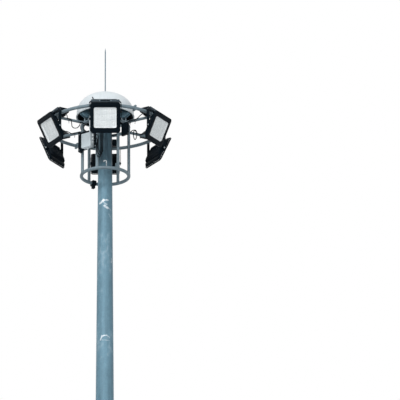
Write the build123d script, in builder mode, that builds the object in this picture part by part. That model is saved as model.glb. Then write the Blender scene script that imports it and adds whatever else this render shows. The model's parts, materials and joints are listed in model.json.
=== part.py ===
"""High mast floodlight tower: a tapered twelve-sided pole with a lamp carriage that is hoisted to its head.

The origin is the centre of the underside of the base flange, +Z is up and lengths are millimetres.
Azimuths are degrees from +X towards +Y. Heights named "rise" are measured from the lamp ring plane.
"""
from build123d import *
import os
from math import atan2, cos, degrees, radians, sin, sqrt, tan

# Pole
POLE_SIDES = 12
POLE_CORNER_AZIMUTH = 5.0
POLE_TOP_Z = 20000.0
POLE_TOP_RADIUS = 115.0
POLE_TAPER = 0.007
LOWER_WALL = 6.0
UPPER_WALL = 5.0
SLIP_GAP = 0.3
UPPER_BOTTOM_Z = 9700.0
SLIP_LENGTH = 700.0

# Base flange and its ribs
FLANGE_RADIUS = 375.0
FLANGE_THICKNESS = 30.0
CABLE_HOLE_RADIUS = 55.0
CABLE_HOLE_OFFSET = 120.0
ANCHOR_COUNT = 12
ANCHOR_CIRCLE_RADIUS = 322.0
ANCHOR_HOLE_RADIUS = 17.0
RIB_HEIGHT = 230.0
RIB_REACH = 105.0
RIB_THICKNESS = 12.0
RIB_TOP_WIDTH = 15.0
RIB_EDGE_HEIGHT = 25.0

# Access door in the pole's foot
DOOR_AZIMUTH = 290.0
DOOR_CENTRE_Z = 1050.0
DOOR_WIDTH = 190.0
DOOR_HEIGHT = 760.0
DOOR_CORNER_RADIUS = 80.0
DOOR_FRAME_WALL = 14.0
DOOR_FRAME_DEPTH = 70.0
DOOR_FRAME_STAND = 10.0
DOOR_THICKNESS = 6.0
DOOR_STOP_WIDTH = 12.0
DOOR_STOP_THICKNESS = 8.0
DOOR_GAP = 1.5

# Head of the pole: plate, three rope arms, sheaves
HEAD_RISE = 110.0
HEAD_PLATE_RADIUS = 165.0
HEAD_PLATE_THICKNESS = 20.0
ROPE_HOLE_RADIUS = 16.0
ROPE_INNER_RADIUS = 40.0
ARM_AZIMUTHS = (90.0, 210.0, 330.0)
ARM_START_RADIUS = 30.0
ARM_HALF_GAP = 22.0
ARM_PLATE = 8.0
ARM_TOP_RISE = 300.0
ARM_BOTTOM_RISE = 98.0
ARM_END_HEIGHT = 40.0
SHEAVE_RADIUS = 75.0
SHEAVE_WIDTH = 36.0
SHEAVE_GROOVE = 9.0
SHEAVE_CLEARANCE = 8.0
AXLE_RADIUS = 12.0
AXLE_GAP = 0.3
AXLE_STAND = 5.0
ROPE_RADIUS = 5.0
ROPE_GAP = 0.3
COLLECTOR_DROP = 420.0
COLLECTOR_RADIUS = 70.0
COLLECTOR_THICKNESS = 20.0

# Dome and lightning rod
DOME_RADIUS = 488.0
DOME_RIM_RISE = 185.0
DOME_HEIGHT = 430.0
DOME_SKIRT = 60.0
DOME_SHOULDER_RADIUS = 315.0
DOME_WALL = 5.0
DOME_LIP_RADIUS = 11.0
DOME_FLANGE_WIDTH = 34.0
DOME_COLLAR_RADIUS = 32.0
DOME_COLLAR_HEIGHT = 22.0
ROD_RADIUS = 9.0
ROD_LENGTH = 850.0
ROD_TUBE_RADIUS = 20.0
ROD_TIP_LENGTH = 60.0
ROD_TIP_RADIUS = 2.0
ROD_GAP = 0.3

# Carriage rings
LAMP_RING_RADIUS = 986.0
LAMP_RING_TUBE = 28.5
CAGE_RADIUS = 401.0
HUB_RING_TUBE = 27.0
GUIDE_RING_TUBE = 28.0
GUIDE_RING_DROP = 894.0
RING_SPLIT_AZIMUTH = 300.0
SPLIT_PLATE = 10.0
SPLIT_PLATE_SIZE = 92.0
SPOKE_TUBE = 24.0
POST_TUBE = 25.0
POST_AZIMUTHS = (357.0, 57.0, 133.0, 197.0, 250.0, 303.0)
WELD_GAP = 0.3

# Lug, hook and clamp block on the guide ring
LUG_AZIMUTH = 297.3
LUG_SIZE = (26.0, 95.0, 6.0)
HOOK_AZIMUTH = 273.0
HOOK_ROD = 7.0
HOOK_HEIGHT = 128.0
HOOK_REACH = 42.0
HOOK_TIP = 26.0
HOOK_BEND = 18.0
CLAMP_AZIMUTH = 120.0
CLAMP_SIZE = (76.0, 88.0, 84.0)
CLAMP_CORNER = 10.0
CLAMP_FOOT = (44.0, 46.0, 58.0)

# Rope sockets on the hub ring
SOCKET_RADIUS = 12.0
SOCKET_HEIGHT = 46.0
SOCKET_GAP = 0.3

# Lamp stations
LAMP_AZIMUTHS = (270.0, 328.0, 30.0, 90.0, 150.0, 209.0)
LAMP_TILTS = (28.0, 25.0, 26.0, 26.0, 24.0, 28.0)
PIVOT_OUTREACH = 29.0
PIVOT_DROP = 260.0
STATION_PLATE = 6.0
STATION_PLATE_WIDTH = 150.0
STATION_MARGIN = 10.0
SADDLE_SPACING = 112.0
SADDLE_WIDTH = 26.0
SADDLE_REACH = 14.0
SADDLE_DEPTH = 21.0
SADDLE_GAP = 0.2
YOKE_TOP_RISE = 68.0
YOKE_BAR = 8.0
YOKE_WIDTH = 50.0
YOKE_HALF_SPAN = 271.0
YOKE_BEVEL = 42.0
YOKE_END = 32.0
PIN_RADIUS = 8.0
PIN_LENGTH = 30.0
PIN_GAP = 0.3
YOKE_RAIL_LENGTH = 473.0
YOKE_RAIL_WALL = 7.0
YOKE_RAIL_SLOT = (230.0, 16.0)
YOKE_RAIL_GAP = 0.3

# Driver boxes
DRIVER_GAP = 6.0
DRIVER_LENGTH = 175.0
DRIVER_WIDTH = 400.0
DRIVER_HEIGHT = 72.0
DRIVER_CORNER = 12.0
DRIVER_LID = 4.0
DRIVER_LID_INSET = 7.0
GLAND_RADIUS = 12.0
GLAND_LENGTH = 22.0
GLAND_ROOT = 6.0

# Lamp heads, measured from the pivot along the lamp's own face
HEAD_WIDTH = 505.0
HEAD_HEIGHT = 515.0
HEAD_CORNER = 45.0
HEAD_FACE_FORWARD = 48.0
HEAD_FACE_UP = 21.5
HEAD_DEPTH = 58.0
HEAD_FRAME_DEPTH = 24.0
HEAD_FRAME_STEP = 6.0
HEAD_BACK_MARGIN = 15.0
HEAD_BACK_RISE = 50.0
WINDOW_WIDTH = 386.0
WINDOW_HEIGHT = 348.0
WINDOW_CORNER = 32.0
WINDOW_RECESS = 3.0
WINDOW_LEDGE = 8.0
TRAY_DEPTH = 26.0
MODULE_COLUMNS = 4
MODULE_ROWS = 3
MODULE_SIZE = (78.0, 90.0, 6.0)
MODULE_SPACING = (84.0, 97.0)
GLASS_THICKNESS = 6.0
GLASS_GAP = 0.5
BOSS_RADIUS = 22.0
BOSS_GAP = 0.5
SINK_WIDTH = 440.0
SINK_HEIGHT = 330.0
SINK_BASE = 12.0
SINK_DEPTH = 52.0
SINK_TAPER = (8.0, 34.0)
FIN_COUNT = 15
FIN_THICKNESS = 5.0

# Junction box on its back plate, which a spacer turns off the cage's left front
BACK_PLATE_AZIMUTH = 234.0
BACK_PLATE_THICKNESS = 8.0
BACK_PLATE_TOP_DROP = 186.0
BACK_PLATE_HEIGHT = 344.0
BACK_PLATE_OVERHANG = 2.0
SPACER_WIDTH = 40.0
JUNCTION_SIZE = (186.0, 250.0, 74.0)
JUNCTION_LID = (190.0, 254.0, 26.0)
JUNCTION_CORNER = 8.0
JUNCTION_DROP = 397.0
JUNCTION_SHIFT = -26.0
SIDE_GLAND_RADIUS = 16.0
SIDE_GLAND_LENGTH = 25.0
SIDE_GLAND_RISES = (80.0, 19.0, -44.0)
BOTTOM_GLAND_SHIFT = -8.0

# Relay box, flat against the side of a radial bracket at the right front post
RELAY_AZIMUTH = 313.0
RELAY_SIZE = (42.0, 225.0, 142.0)
RELAY_DROP = 180.0
RELAY_SHIFT = -4.0
RELAY_CORNER = 6.0
RAIL_HEIGHT = 35.0
RAIL_THICKNESS = 6.0
RAIL_OVERHANG = 16.0
RAIL_SPACING = 150.0
BOX_SEAT_GAP = 0.3

# Cables that the carriage carries
LEAD_RADIUS = 7.0
LEAD_GAP = 0.3
LEAD_BEND = 24.0
LEAD_BEND_SHARE = 0.1
LOOM_RADIUS = 9.0
LEAD_SIDES = (1, -1, -1, 1, 1, 1)
LEAD_DROOP = (0.49, 0.0)
LEAD_SLACK = {
    2: ((0.45, 0.02), (0.41, -0.22), (0.19, -0.47), (0.07, -0.24)),
    5: ((0.80, 0.02), (0.70, -0.25), (0.56, -0.52), (0.27, -0.49), (0.05, -0.22)),
}
BOX_LEAD_REACHES = (184.0, 167.0, 150.0)
BOX_LEAD_DROPS = (620.0, 665.0, 705.0)
BOX_LEAD_BENDS = (26.0, 52.0, 52.0)
CONDUIT_RADIUS = 11.0
CONDUIT_SHIFT = 12.0
CONDUIT_RISE = 66.0
CONDUIT_BEND = 46.0

PIVOT_RADIUS = LAMP_RING_RADIUS + PIVOT_OUTREACH
RING_Z = POLE_TOP_Z - HEAD_RISE
SHEAVE_RISE = HEAD_RISE + HEAD_PLATE_THICKNESS + SHEAVE_CLEARANCE + SHEAVE_RADIUS
SIDE_HALF_ANGLE = radians(180.0 / POLE_SIDES)

os.makedirs("parts", exist_ok=True)


def save(piece, name):
    """Label a finished piece and write its file."""
    piece.label = name
    export_step(piece, f"parts/{name}.step")


def polar(radius, azimuth, z=0.0):
    """Point at a radius and azimuth round the pole's axis."""
    return (radius * cos(radians(azimuth)), radius * sin(radians(azimuth)), z)


def radial_plane(azimuth, radius=0.0, z=0.0):
    """Plane seen from outside the pole: x runs sideways, y up and z outwards."""
    return Plane(
        origin=polar(radius, azimuth, z),
        x_dir=(-sin(radians(azimuth)), cos(radians(azimuth)), 0),
        z_dir=(cos(radians(azimuth)), sin(radians(azimuth)), 0),
    )


def section_plane(azimuth):
    """Plane through the axis: x runs outwards and y up, with z square to both."""
    return Plane(
        origin=(0, 0, 0),
        x_dir=(cos(radians(azimuth)), sin(radians(azimuth)), 0),
        z_dir=(sin(radians(azimuth)), -cos(radians(azimuth)), 0),
    )


def upper_corner_radius(z):
    """Corner radius of the upper section's outside at height z."""
    return POLE_TOP_RADIUS + POLE_TAPER * (POLE_TOP_Z - z)


def lower_corner_radius(z):
    """Corner radius of the lower section's outside, which the upper one slips over."""
    return upper_corner_radius(z) - (UPPER_WALL + SLIP_GAP) / cos(SIDE_HALF_ANGLE)


def polygon_shell(bottom_z, top_z, corner_radius, wall):
    """Tapered tube of regular polygon section, hollow from end to end."""
    inset = wall / cos(SIDE_HALF_ANGLE)
    with BuildPart() as shell:
        for z in (bottom_z, top_z):
            with BuildSketch(Plane.XY.offset(z)):
                RegularPolygon(corner_radius(z), POLE_SIDES, rotation=POLE_CORNER_AZIMUTH)
        loft()
        for z in (bottom_z, top_z):
            with BuildSketch(Plane.XY.offset(z)):
                RegularPolygon(corner_radius(z) - inset, POLE_SIDES, rotation=POLE_CORNER_AZIMUTH)
        loft(mode=Mode.SUBTRACT)
    return shell.part


def torus_tool(radius, tube, z):
    """Full ring of round tube, for cutting the tubes that meet it."""
    return Pos(0, 0, z) * Torus(radius, tube)


def bent_tube(points, bends, radius):
    """Round tube along straight runs joined by arcs."""
    with BuildPart() as tube:
        with BuildLine() as route:
            FilletPolyline(*points, radius=bends)
        with BuildSketch(Plane(origin=route.line @ 0, z_dir=route.line % 0)):
            Circle(radius)
        sweep(path=route.line)
    return tube.part


# Base flange
with BuildPart() as base_flange:
    with BuildSketch():
        Circle(FLANGE_RADIUS)
        with Locations(polar(CABLE_HOLE_OFFSET, DOOR_AZIMUTH)[:2]):
            Circle(CABLE_HOLE_RADIUS, mode=Mode.SUBTRACT)
        with PolarLocations(ANCHOR_CIRCLE_RADIUS, ANCHOR_COUNT, start_angle=POLE_CORNER_AZIMUTH):
            Circle(ANCHOR_HOLE_RADIUS, mode=Mode.SUBTRACT)
    extrude(amount=FLANGE_THICKNESS)
save(base_flange.part, "base_flange")

# Pole sections
door_plane = radial_plane(DOOR_AZIMUTH, 0, DOOR_CENTRE_Z)
door_outer_width = DOOR_WIDTH + 2 * DOOR_FRAME_WALL
door_outer_height = DOOR_HEIGHT + 2 * DOOR_FRAME_WALL
door_face_radius = lower_corner_radius(DOOR_CENTRE_Z) * cos(SIDE_HALF_ANGLE) + DOOR_FRAME_STAND

with BuildPart() as lower_section:
    add(polygon_shell(FLANGE_THICKNESS, UPPER_BOTTOM_Z + SLIP_LENGTH, lower_corner_radius, LOWER_WALL))
    with BuildSketch(door_plane):
        RectangleRounded(door_outer_width, door_outer_height, DOOR_CORNER_RADIUS + DOOR_FRAME_WALL)
    extrude(amount=2 * POLE_TOP_RADIUS + DOOR_FRAME_DEPTH, mode=Mode.SUBTRACT)
save(lower_section.part, "lower_section")

with BuildPart() as upper_section:
    add(polygon_shell(UPPER_BOTTOM_Z, POLE_TOP_Z, upper_corner_radius, UPPER_WALL))
save(upper_section.part, "upper_section")

with BuildPart() as door_frame:
    with BuildSketch(door_plane.offset(door_face_radius - DOOR_FRAME_DEPTH)):
        RectangleRounded(door_outer_width, door_outer_height, DOOR_CORNER_RADIUS + DOOR_FRAME_WALL)
        RectangleRounded(DOOR_WIDTH, DOOR_HEIGHT, DOOR_CORNER_RADIUS, mode=Mode.SUBTRACT)
    extrude(amount=DOOR_FRAME_DEPTH)
    with BuildSketch(door_plane.offset(door_face_radius - DOOR_THICKNESS - DOOR_STOP_THICKNESS)):
        RectangleRounded(DOOR_WIDTH, DOOR_HEIGHT, DOOR_CORNER_RADIUS)
        RectangleRounded(
            DOOR_WIDTH - 2 * DOOR_STOP_WIDTH,
            DOOR_HEIGHT - 2 * DOOR_STOP_WIDTH,
            DOOR_CORNER_RADIUS - DOOR_STOP_WIDTH,
            mode=Mode.SUBTRACT,
        )
    extrude(amount=DOOR_STOP_THICKNESS)
save(door_frame.part, "door_frame")

with BuildPart() as door_leaf:
    with BuildSketch(door_plane.offset(door_face_radius - DOOR_THICKNESS)):
        RectangleRounded(DOOR_WIDTH - 2 * DOOR_GAP, DOOR_HEIGHT - 2 * DOOR_GAP, DOOR_CORNER_RADIUS - DOOR_GAP)
    extrude(amount=DOOR_THICKNESS)
save(door_leaf.part, "door_leaf")

# Ribs between the flange and the flats of the pole
rib_azimuths = [POLE_CORNER_AZIMUTH + (side + 0.5) * 360.0 / POLE_SIDES for side in range(POLE_SIDES)]
rib_root = lower_corner_radius(FLANGE_THICKNESS) * cos(SIDE_HALF_ANGLE)
rib_lean = POLE_TAPER * cos(SIDE_HALF_ANGLE) * RIB_HEIGHT
with BuildPart() as base_ribs:
    for azimuth in rib_azimuths:
        with BuildSketch(section_plane(azimuth)):
            with BuildLine():
                Polyline(
                    (rib_root, FLANGE_THICKNESS),
                    (rib_root + RIB_REACH, FLANGE_THICKNESS),
                    (rib_root + RIB_REACH, FLANGE_THICKNESS + RIB_EDGE_HEIGHT),
                    (rib_root + RIB_TOP_WIDTH, FLANGE_THICKNESS + RIB_HEIGHT),
                    (rib_root - rib_lean, FLANGE_THICKNESS + RIB_HEIGHT),
                    close=True,
                )
            make_face()
        extrude(amount=RIB_THICKNESS / 2, both=True)
save(base_ribs.part, "base_ribs")

# Head frame: plate on the pole, paired arm plates and the lightning rod's tube
head_plate_top = POLE_TOP_Z + HEAD_PLATE_THICKNESS
rope_bend = SHEAVE_RADIUS - SHEAVE_GROOVE + ROPE_RADIUS * sqrt(2) + ROPE_GAP
sheave_radii = (ROPE_INNER_RADIUS + rope_bend, CAGE_RADIUS - rope_bend)
dome_flange_radius = DOME_RADIUS - DOME_FLANGE_WIDTH
arm_end_radius = DOME_RADIUS - DOME_WALL - DOME_LIP_RADIUS
tube_top_rise = DOME_RIM_RISE + DOME_HEIGHT - 2 * DOME_WALL
with BuildPart() as head_frame:
    with BuildSketch(Plane.XY.offset(POLE_TOP_Z)):
        Circle(HEAD_PLATE_RADIUS)
        with PolarLocations(ROPE_INNER_RADIUS, len(ARM_AZIMUTHS), start_angle=ARM_AZIMUTHS[0]):
            Circle(ROPE_HOLE_RADIUS, mode=Mode.SUBTRACT)
    extrude(amount=HEAD_PLATE_THICKNESS)
    for azimuth in ARM_AZIMUTHS:
        for side in (-1, 1):
            with BuildSketch(section_plane(azimuth).offset(side * (ARM_HALF_GAP + ARM_PLATE / 2))):
                with BuildLine():
                    Polyline(
                        (ARM_START_RADIUS, head_plate_top),
                        (HEAD_PLATE_RADIUS, head_plate_top),
                        (HEAD_PLATE_RADIUS + HEAD_PLATE_THICKNESS, RING_Z + ARM_BOTTOM_RISE),
                        (CAGE_RADIUS, RING_Z + ARM_BOTTOM_RISE),
                        (arm_end_radius, RING_Z + DOME_RIM_RISE - ARM_END_HEIGHT),
                        (arm_end_radius, RING_Z + DOME_RIM_RISE),
                        (dome_flange_radius - DOME_WALL, RING_Z + DOME_RIM_RISE),
                        (CAGE_RADIUS, RING_Z + ARM_TOP_RISE),
                        (ARM_START_RADIUS, RING_Z + ARM_TOP_RISE),
                        close=True,
                    )
                make_face()
                with Locations(*[(radius, RING_Z + SHEAVE_RISE) for radius in sheave_radii]):
                    Circle(AXLE_RADIUS + AXLE_GAP, mode=Mode.SUBTRACT)
            extrude(amount=ARM_PLATE / 2, both=True)
    with BuildSketch(Plane.XY.offset(head_plate_top)):
        Circle(ROD_TUBE_RADIUS)
    extrude(amount=RING_Z + tube_top_rise - head_plate_top)
save(head_frame.part, "head_frame")

# Sheaves with their axles
with BuildPart() as rope_sheaves:
    for azimuth in ARM_AZIMUTHS:
        for radius in sheave_radii:
            centre = polar(radius, azimuth, RING_Z + SHEAVE_RISE)
            sheave_axis = Axis(centre, (sin(radians(azimuth)), -cos(radians(azimuth)), 0))
            arm_plane = section_plane(azimuth)
            axle_half = ARM_HALF_GAP + ARM_PLATE + AXLE_STAND
            profile_plane = Plane(
                origin=centre,
                x_dir=arm_plane.x_dir,
                z_dir=(0, 0, 1),
            )
            with BuildSketch(profile_plane):
                with BuildLine():
                    Polyline(
                        (0, -axle_half),
                        (AXLE_RADIUS, -axle_half),
                        (AXLE_RADIUS, -SHEAVE_WIDTH / 2),
                        (SHEAVE_RADIUS, -SHEAVE_WIDTH / 2),
                        (SHEAVE_RADIUS, -SHEAVE_GROOVE),
                        (SHEAVE_RADIUS - SHEAVE_GROOVE, 0),
                        (SHEAVE_RADIUS, SHEAVE_GROOVE),
                        (SHEAVE_RADIUS, SHEAVE_WIDTH / 2),
                        (AXLE_RADIUS, SHEAVE_WIDTH / 2),
                        (AXLE_RADIUS, axle_half),
                        (0, axle_half),
                        close=True,
                    )
                make_face()
            revolve(axis=sheave_axis)
save(rope_sheaves.part, "rope_sheaves")

# Hoisting ropes at the docked carriage, from the sockets over the sheaves into the pole
socket_top_rise = HUB_RING_TUBE - SOCKET_GAP + SOCKET_HEIGHT
with BuildPart() as hoist_ropes:
    for azimuth in ARM_AZIMUTHS:
        with BuildLine(section_plane(azimuth)) as rope_line:
            FilletPolyline(
                (CAGE_RADIUS, RING_Z + socket_top_rise + SOCKET_GAP),
                (CAGE_RADIUS, RING_Z + SHEAVE_RISE + rope_bend),
                (ROPE_INNER_RADIUS, RING_Z + SHEAVE_RISE + rope_bend),
                (ROPE_INNER_RADIUS, POLE_TOP_Z - COLLECTOR_DROP),
                radius=rope_bend,
            )
        with BuildSketch(Plane.XY.offset(RING_Z + socket_top_rise + SOCKET_GAP)):
            with Locations(polar(CAGE_RADIUS, azimuth)[:2]):
                Circle(ROPE_RADIUS)
        sweep(path=rope_line.line)
    with BuildSketch(Plane.XY.offset(POLE_TOP_Z - COLLECTOR_DROP - COLLECTOR_THICKNESS)):
        Circle(COLLECTOR_RADIUS)
    extrude(amount=COLLECTOR_THICKNESS)
save(hoist_ropes.part, "hoist_ropes")

# Dome: short upright skirt, shoulder arc and crown arc, with a rolled lip and an inner flange on the arms
rim_z = RING_Z + DOME_RIM_RISE
shoulder_z = rim_z + DOME_SKIRT
shoulder_centre = DOME_RADIUS - DOME_SHOULDER_RADIUS
cap_height = DOME_HEIGHT - DOME_SKIRT
crown_radius = (shoulder_centre**2 + cap_height**2 - DOME_SHOULDER_RADIUS**2) / (
    2 * (cap_height - DOME_SHOULDER_RADIUS)
)
crown_centre_z = rim_z + DOME_HEIGHT - crown_radius
turn = degrees(atan2(shoulder_z - crown_centre_z, shoulder_centre))
with BuildPart() as dome:
    with BuildSketch(Plane.XZ):
        with BuildLine():
            Line((DOME_RADIUS, rim_z), (DOME_RADIUS, shoulder_z))
            CenterArc((shoulder_centre, shoulder_z), DOME_SHOULDER_RADIUS, 0, turn)
            CenterArc((0, crown_centre_z), crown_radius, turn, 90 - turn)
            Line((0, rim_z + DOME_HEIGHT), (0, rim_z + DOME_HEIGHT - DOME_WALL))
            CenterArc((0, crown_centre_z), crown_radius - DOME_WALL, turn, 90 - turn)
            CenterArc((shoulder_centre, shoulder_z), DOME_SHOULDER_RADIUS - DOME_WALL, 0, turn)
            Line((DOME_RADIUS - DOME_WALL, shoulder_z), (DOME_RADIUS - DOME_WALL, rim_z))
            Line((DOME_RADIUS - DOME_WALL, rim_z), (DOME_RADIUS, rim_z))
        make_face()
        with Locations((DOME_RADIUS, rim_z)):
            Circle(DOME_LIP_RADIUS)
        with Locations((DOME_RADIUS - DOME_FLANGE_WIDTH / 2, rim_z + DOME_WALL / 2)):
            Rectangle(DOME_FLANGE_WIDTH, DOME_WALL)
        with Locations((DOME_COLLAR_RADIUS / 2, rim_z + DOME_HEIGHT + DOME_COLLAR_HEIGHT / 2 - DOME_WALL)):
            Rectangle(DOME_COLLAR_RADIUS, DOME_COLLAR_HEIGHT)
        with Locations(((ROD_RADIUS + ROD_GAP) / 2, rim_z + DOME_HEIGHT)):
            Rectangle(ROD_RADIUS + ROD_GAP, 2 * DOME_COLLAR_HEIGHT, mode=Mode.SUBTRACT)
    revolve(axis=Axis.Z)
save(dome.part, "dome")

with BuildPart() as lightning_rod:
    with BuildSketch(Plane.XY.offset(RING_Z + tube_top_rise)):
        Circle(ROD_RADIUS)
    extrude(amount=ROD_LENGTH + 2 * DOME_WALL - ROD_TIP_LENGTH)
    rod_shoulder = RING_Z + DOME_RIM_RISE + DOME_HEIGHT + ROD_LENGTH - ROD_TIP_LENGTH
    with BuildSketch(Plane.XY.offset(rod_shoulder)):
        Circle(ROD_RADIUS)
    with BuildSketch(Plane.XY.offset(rod_shoulder + ROD_TIP_LENGTH)):
        Circle(ROD_TIP_RADIUS)
    loft()
save(lightning_rod.part, "lightning_rod")

# Lamp ring in two halves with bolted end plates
for half, start in enumerate((RING_SPLIT_AZIMUTH, RING_SPLIT_AZIMUTH + 180.0), start=1):
    with BuildPart() as lamp_ring:
        with BuildSketch(section_plane(start)):
            with Locations((LAMP_RING_RADIUS, RING_Z)):
                Circle(LAMP_RING_TUBE)
        revolve(axis=Axis.Z, revolution_arc=180.0)
        for end, inward in ((start, 1), (start + 180.0, -1)):
            with BuildSketch(section_plane(end)):
                with Locations((LAMP_RING_RADIUS, RING_Z)):
                    RectangleRounded(SPLIT_PLATE_SIZE, SPLIT_PLATE_SIZE, SPLIT_PLATE)
            extrude(amount=-inward * SPLIT_PLATE)
    save(lamp_ring.part, f"lamp_ring_{half}")

# Hub ring
guide_z = RING_Z - GUIDE_RING_DROP
with BuildPart() as hub_ring:
    with BuildSketch(Plane.XZ):
        with Locations((CAGE_RADIUS, RING_Z)):
            Circle(HUB_RING_TUBE)
    revolve(axis=Axis.Z)
save(hub_ring.part, "hub_ring")

# Guide ring with the lug and the hook that are welded to it
with BuildPart() as guide_ring:
    with BuildSketch(Plane.XZ):
        with Locations((CAGE_RADIUS, guide_z)):
            Circle(GUIDE_RING_TUBE)
    revolve(axis=Axis.Z)
    with BuildSketch(radial_plane(LUG_AZIMUTH, CAGE_RADIUS, guide_z + LUG_SIZE[1] / 2)):
        RectangleRounded(LUG_SIZE[0], LUG_SIZE[1], LUG_SIZE[2])
    extrude(amount=LUG_SIZE[2] / 2, both=True)
    hook_plane = radial_plane(HOOK_AZIMUTH, CAGE_RADIUS, guide_z)
    hook_corners = ((0, 0), (0, HOOK_HEIGHT), (-HOOK_REACH, HOOK_HEIGHT), (-HOOK_REACH, HOOK_HEIGHT - HOOK_TIP))
    add(bent_tube([hook_plane.from_local_coords((x, y, 0)) for x, y in hook_corners], HOOK_BEND, HOOK_ROD))
save(guide_ring.part, "guide_ring")

# Spokes from the hub ring to the lamp ring
lamp_ring_tool = torus_tool(LAMP_RING_RADIUS, LAMP_RING_TUBE + WELD_GAP, RING_Z)
hub_ring_tool = torus_tool(CAGE_RADIUS, HUB_RING_TUBE + WELD_GAP, RING_Z)
guide_ring_tool = torus_tool(CAGE_RADIUS, GUIDE_RING_TUBE + WELD_GAP, guide_z)
with BuildPart() as spokes:
    for azimuth in LAMP_AZIMUTHS:
        with BuildSketch(radial_plane(azimuth, CAGE_RADIUS, RING_Z)):
            Circle(SPOKE_TUBE)
        extrude(amount=LAMP_RING_RADIUS - CAGE_RADIUS)
    add(lamp_ring_tool, mode=Mode.SUBTRACT)
    add(hub_ring_tool, mode=Mode.SUBTRACT)
save(spokes.part, "spokes")

# Posts of the cage between the hub ring and the guide ring
with BuildPart() as cage_posts:
    for azimuth in POST_AZIMUTHS:
        with BuildSketch(Plane.XY.offset(guide_z)):
            with Locations(polar(CAGE_RADIUS, azimuth)[:2]):
                Circle(POST_TUBE)
    extrude(amount=GUIDE_RING_DROP)
    add(guide_ring_tool, mode=Mode.SUBTRACT)
    add(hub_ring_tool, mode=Mode.SUBTRACT)
save(cage_posts.part, "cage_posts")

# Clamp block round the guide ring with a foot below it
with BuildPart() as ring_clamp:
    clamp_plane = radial_plane(CLAMP_AZIMUTH, CAGE_RADIUS, guide_z)
    with BuildSketch(clamp_plane):
        RectangleRounded(CLAMP_SIZE[0], CLAMP_SIZE[1], CLAMP_CORNER)
    extrude(amount=CLAMP_SIZE[2] / 2, both=True)
    with BuildSketch(clamp_plane):
        with Locations((0, -(CLAMP_SIZE[1] + CLAMP_FOOT[1]) / 2)):
            Rectangle(CLAMP_FOOT[0], CLAMP_FOOT[1])
    extrude(amount=CLAMP_FOOT[2] / 2, both=True)
    add(guide_ring_tool, mode=Mode.SUBTRACT)
save(ring_clamp.part, "ring_clamp")

# Sockets that end the ropes on the hub ring
with BuildPart() as rope_sockets:
    for azimuth in ARM_AZIMUTHS:
        with BuildSketch(Plane.XY.offset(RING_Z)):
            with Locations(polar(CAGE_RADIUS, azimuth)[:2]):
                Circle(SOCKET_RADIUS)
    extrude(amount=socket_top_rise)
    add(hub_ring_tool, mode=Mode.SUBTRACT)
save(rope_sockets.part, "rope_sockets")

# Lamp stations: a plate with two saddles on the ring, which carries the yoke outside and the driver box inside
station_z = RING_Z + LAMP_RING_TUBE + WELD_GAP
driver_outer_radius = PIVOT_RADIUS - YOKE_WIDTH / 2 - DRIVER_GAP
driver_inner_radius = driver_outer_radius - DRIVER_LENGTH
station_inner_radius = driver_inner_radius - STATION_MARGIN
rail_inner_radius = PIVOT_RADIUS - YOKE_WIDTH / 2
rail_outer_radius = PIVOT_RADIUS + YOKE_WIDTH / 2 + YOKE_RAIL_GAP + YOKE_RAIL_WALL
saddle_half = LAMP_RING_TUBE + SADDLE_REACH
saddle_tool = torus_tool(LAMP_RING_RADIUS, LAMP_RING_TUBE + SADDLE_GAP, RING_Z)
with BuildPart() as station_plates:
    for azimuth in LAMP_AZIMUTHS:
        with BuildSketch(radial_plane(azimuth, station_inner_radius, station_z + STATION_PLATE / 2)):
            Rectangle(STATION_PLATE_WIDTH, STATION_PLATE)
        extrude(amount=rail_outer_radius - station_inner_radius)
        with BuildSketch(radial_plane(azimuth, LAMP_RING_RADIUS - saddle_half, station_z - SADDLE_DEPTH / 2)):
            with GridLocations(SADDLE_SPACING, 0, 2, 1):
                Rectangle(SADDLE_WIDTH, SADDLE_DEPTH)
        extrude(amount=2 * saddle_half)
    add(saddle_tool, mode=Mode.SUBTRACT)
save(station_plates.part, "station_plates")

# Slotted channels on the station plates, which hold the yokes by their crossbars
rail_bottom = station_z + STATION_PLATE + YOKE_RAIL_GAP
rail_top = RING_Z + YOKE_TOP_RISE + YOKE_RAIL_GAP + YOKE_RAIL_WALL
with BuildPart() as yoke_rails:
    for azimuth in LAMP_AZIMUTHS:
        with BuildSketch(section_plane(azimuth)):
            with BuildLine():
                Polyline(
                    (rail_inner_radius, rail_bottom),
                    (rail_outer_radius, rail_bottom),
                    (rail_outer_radius, rail_top),
                    (rail_inner_radius, rail_top),
                    (rail_inner_radius, rail_top - YOKE_RAIL_WALL),
                    (rail_outer_radius - YOKE_RAIL_WALL, rail_top - YOKE_RAIL_WALL),
                    (rail_outer_radius - YOKE_RAIL_WALL, rail_bottom + YOKE_RAIL_WALL),
                    (rail_inner_radius, rail_bottom + YOKE_RAIL_WALL),
                    close=True,
                )
            make_face()
        extrude(amount=YOKE_RAIL_LENGTH / 2, both=True)
        with BuildSketch(radial_plane(azimuth, rail_outer_radius, (rail_bottom + rail_top) / 2)):
            SlotOverall(YOKE_RAIL_SLOT[0], YOKE_RAIL_SLOT[1])
        extrude(amount=-YOKE_RAIL_WALL, mode=Mode.SUBTRACT)
save(yoke_rails.part, "yoke_rails")

# Yokes with their pivot pins
bevel_inset = YOKE_BAR * tan(radians(22.5))


def yoke_outline(half_span, top, bevel):
    """Corner points of the inverted U, from one leg's foot to the other's."""
    foot = -PIVOT_DROP - YOKE_END
    return [
        (-half_span, foot),
        (-half_span, top - bevel),
        (-half_span + bevel, top),
        (half_span - bevel, top),
        (half_span, top - bevel),
        (half_span, foot),
    ]


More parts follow.
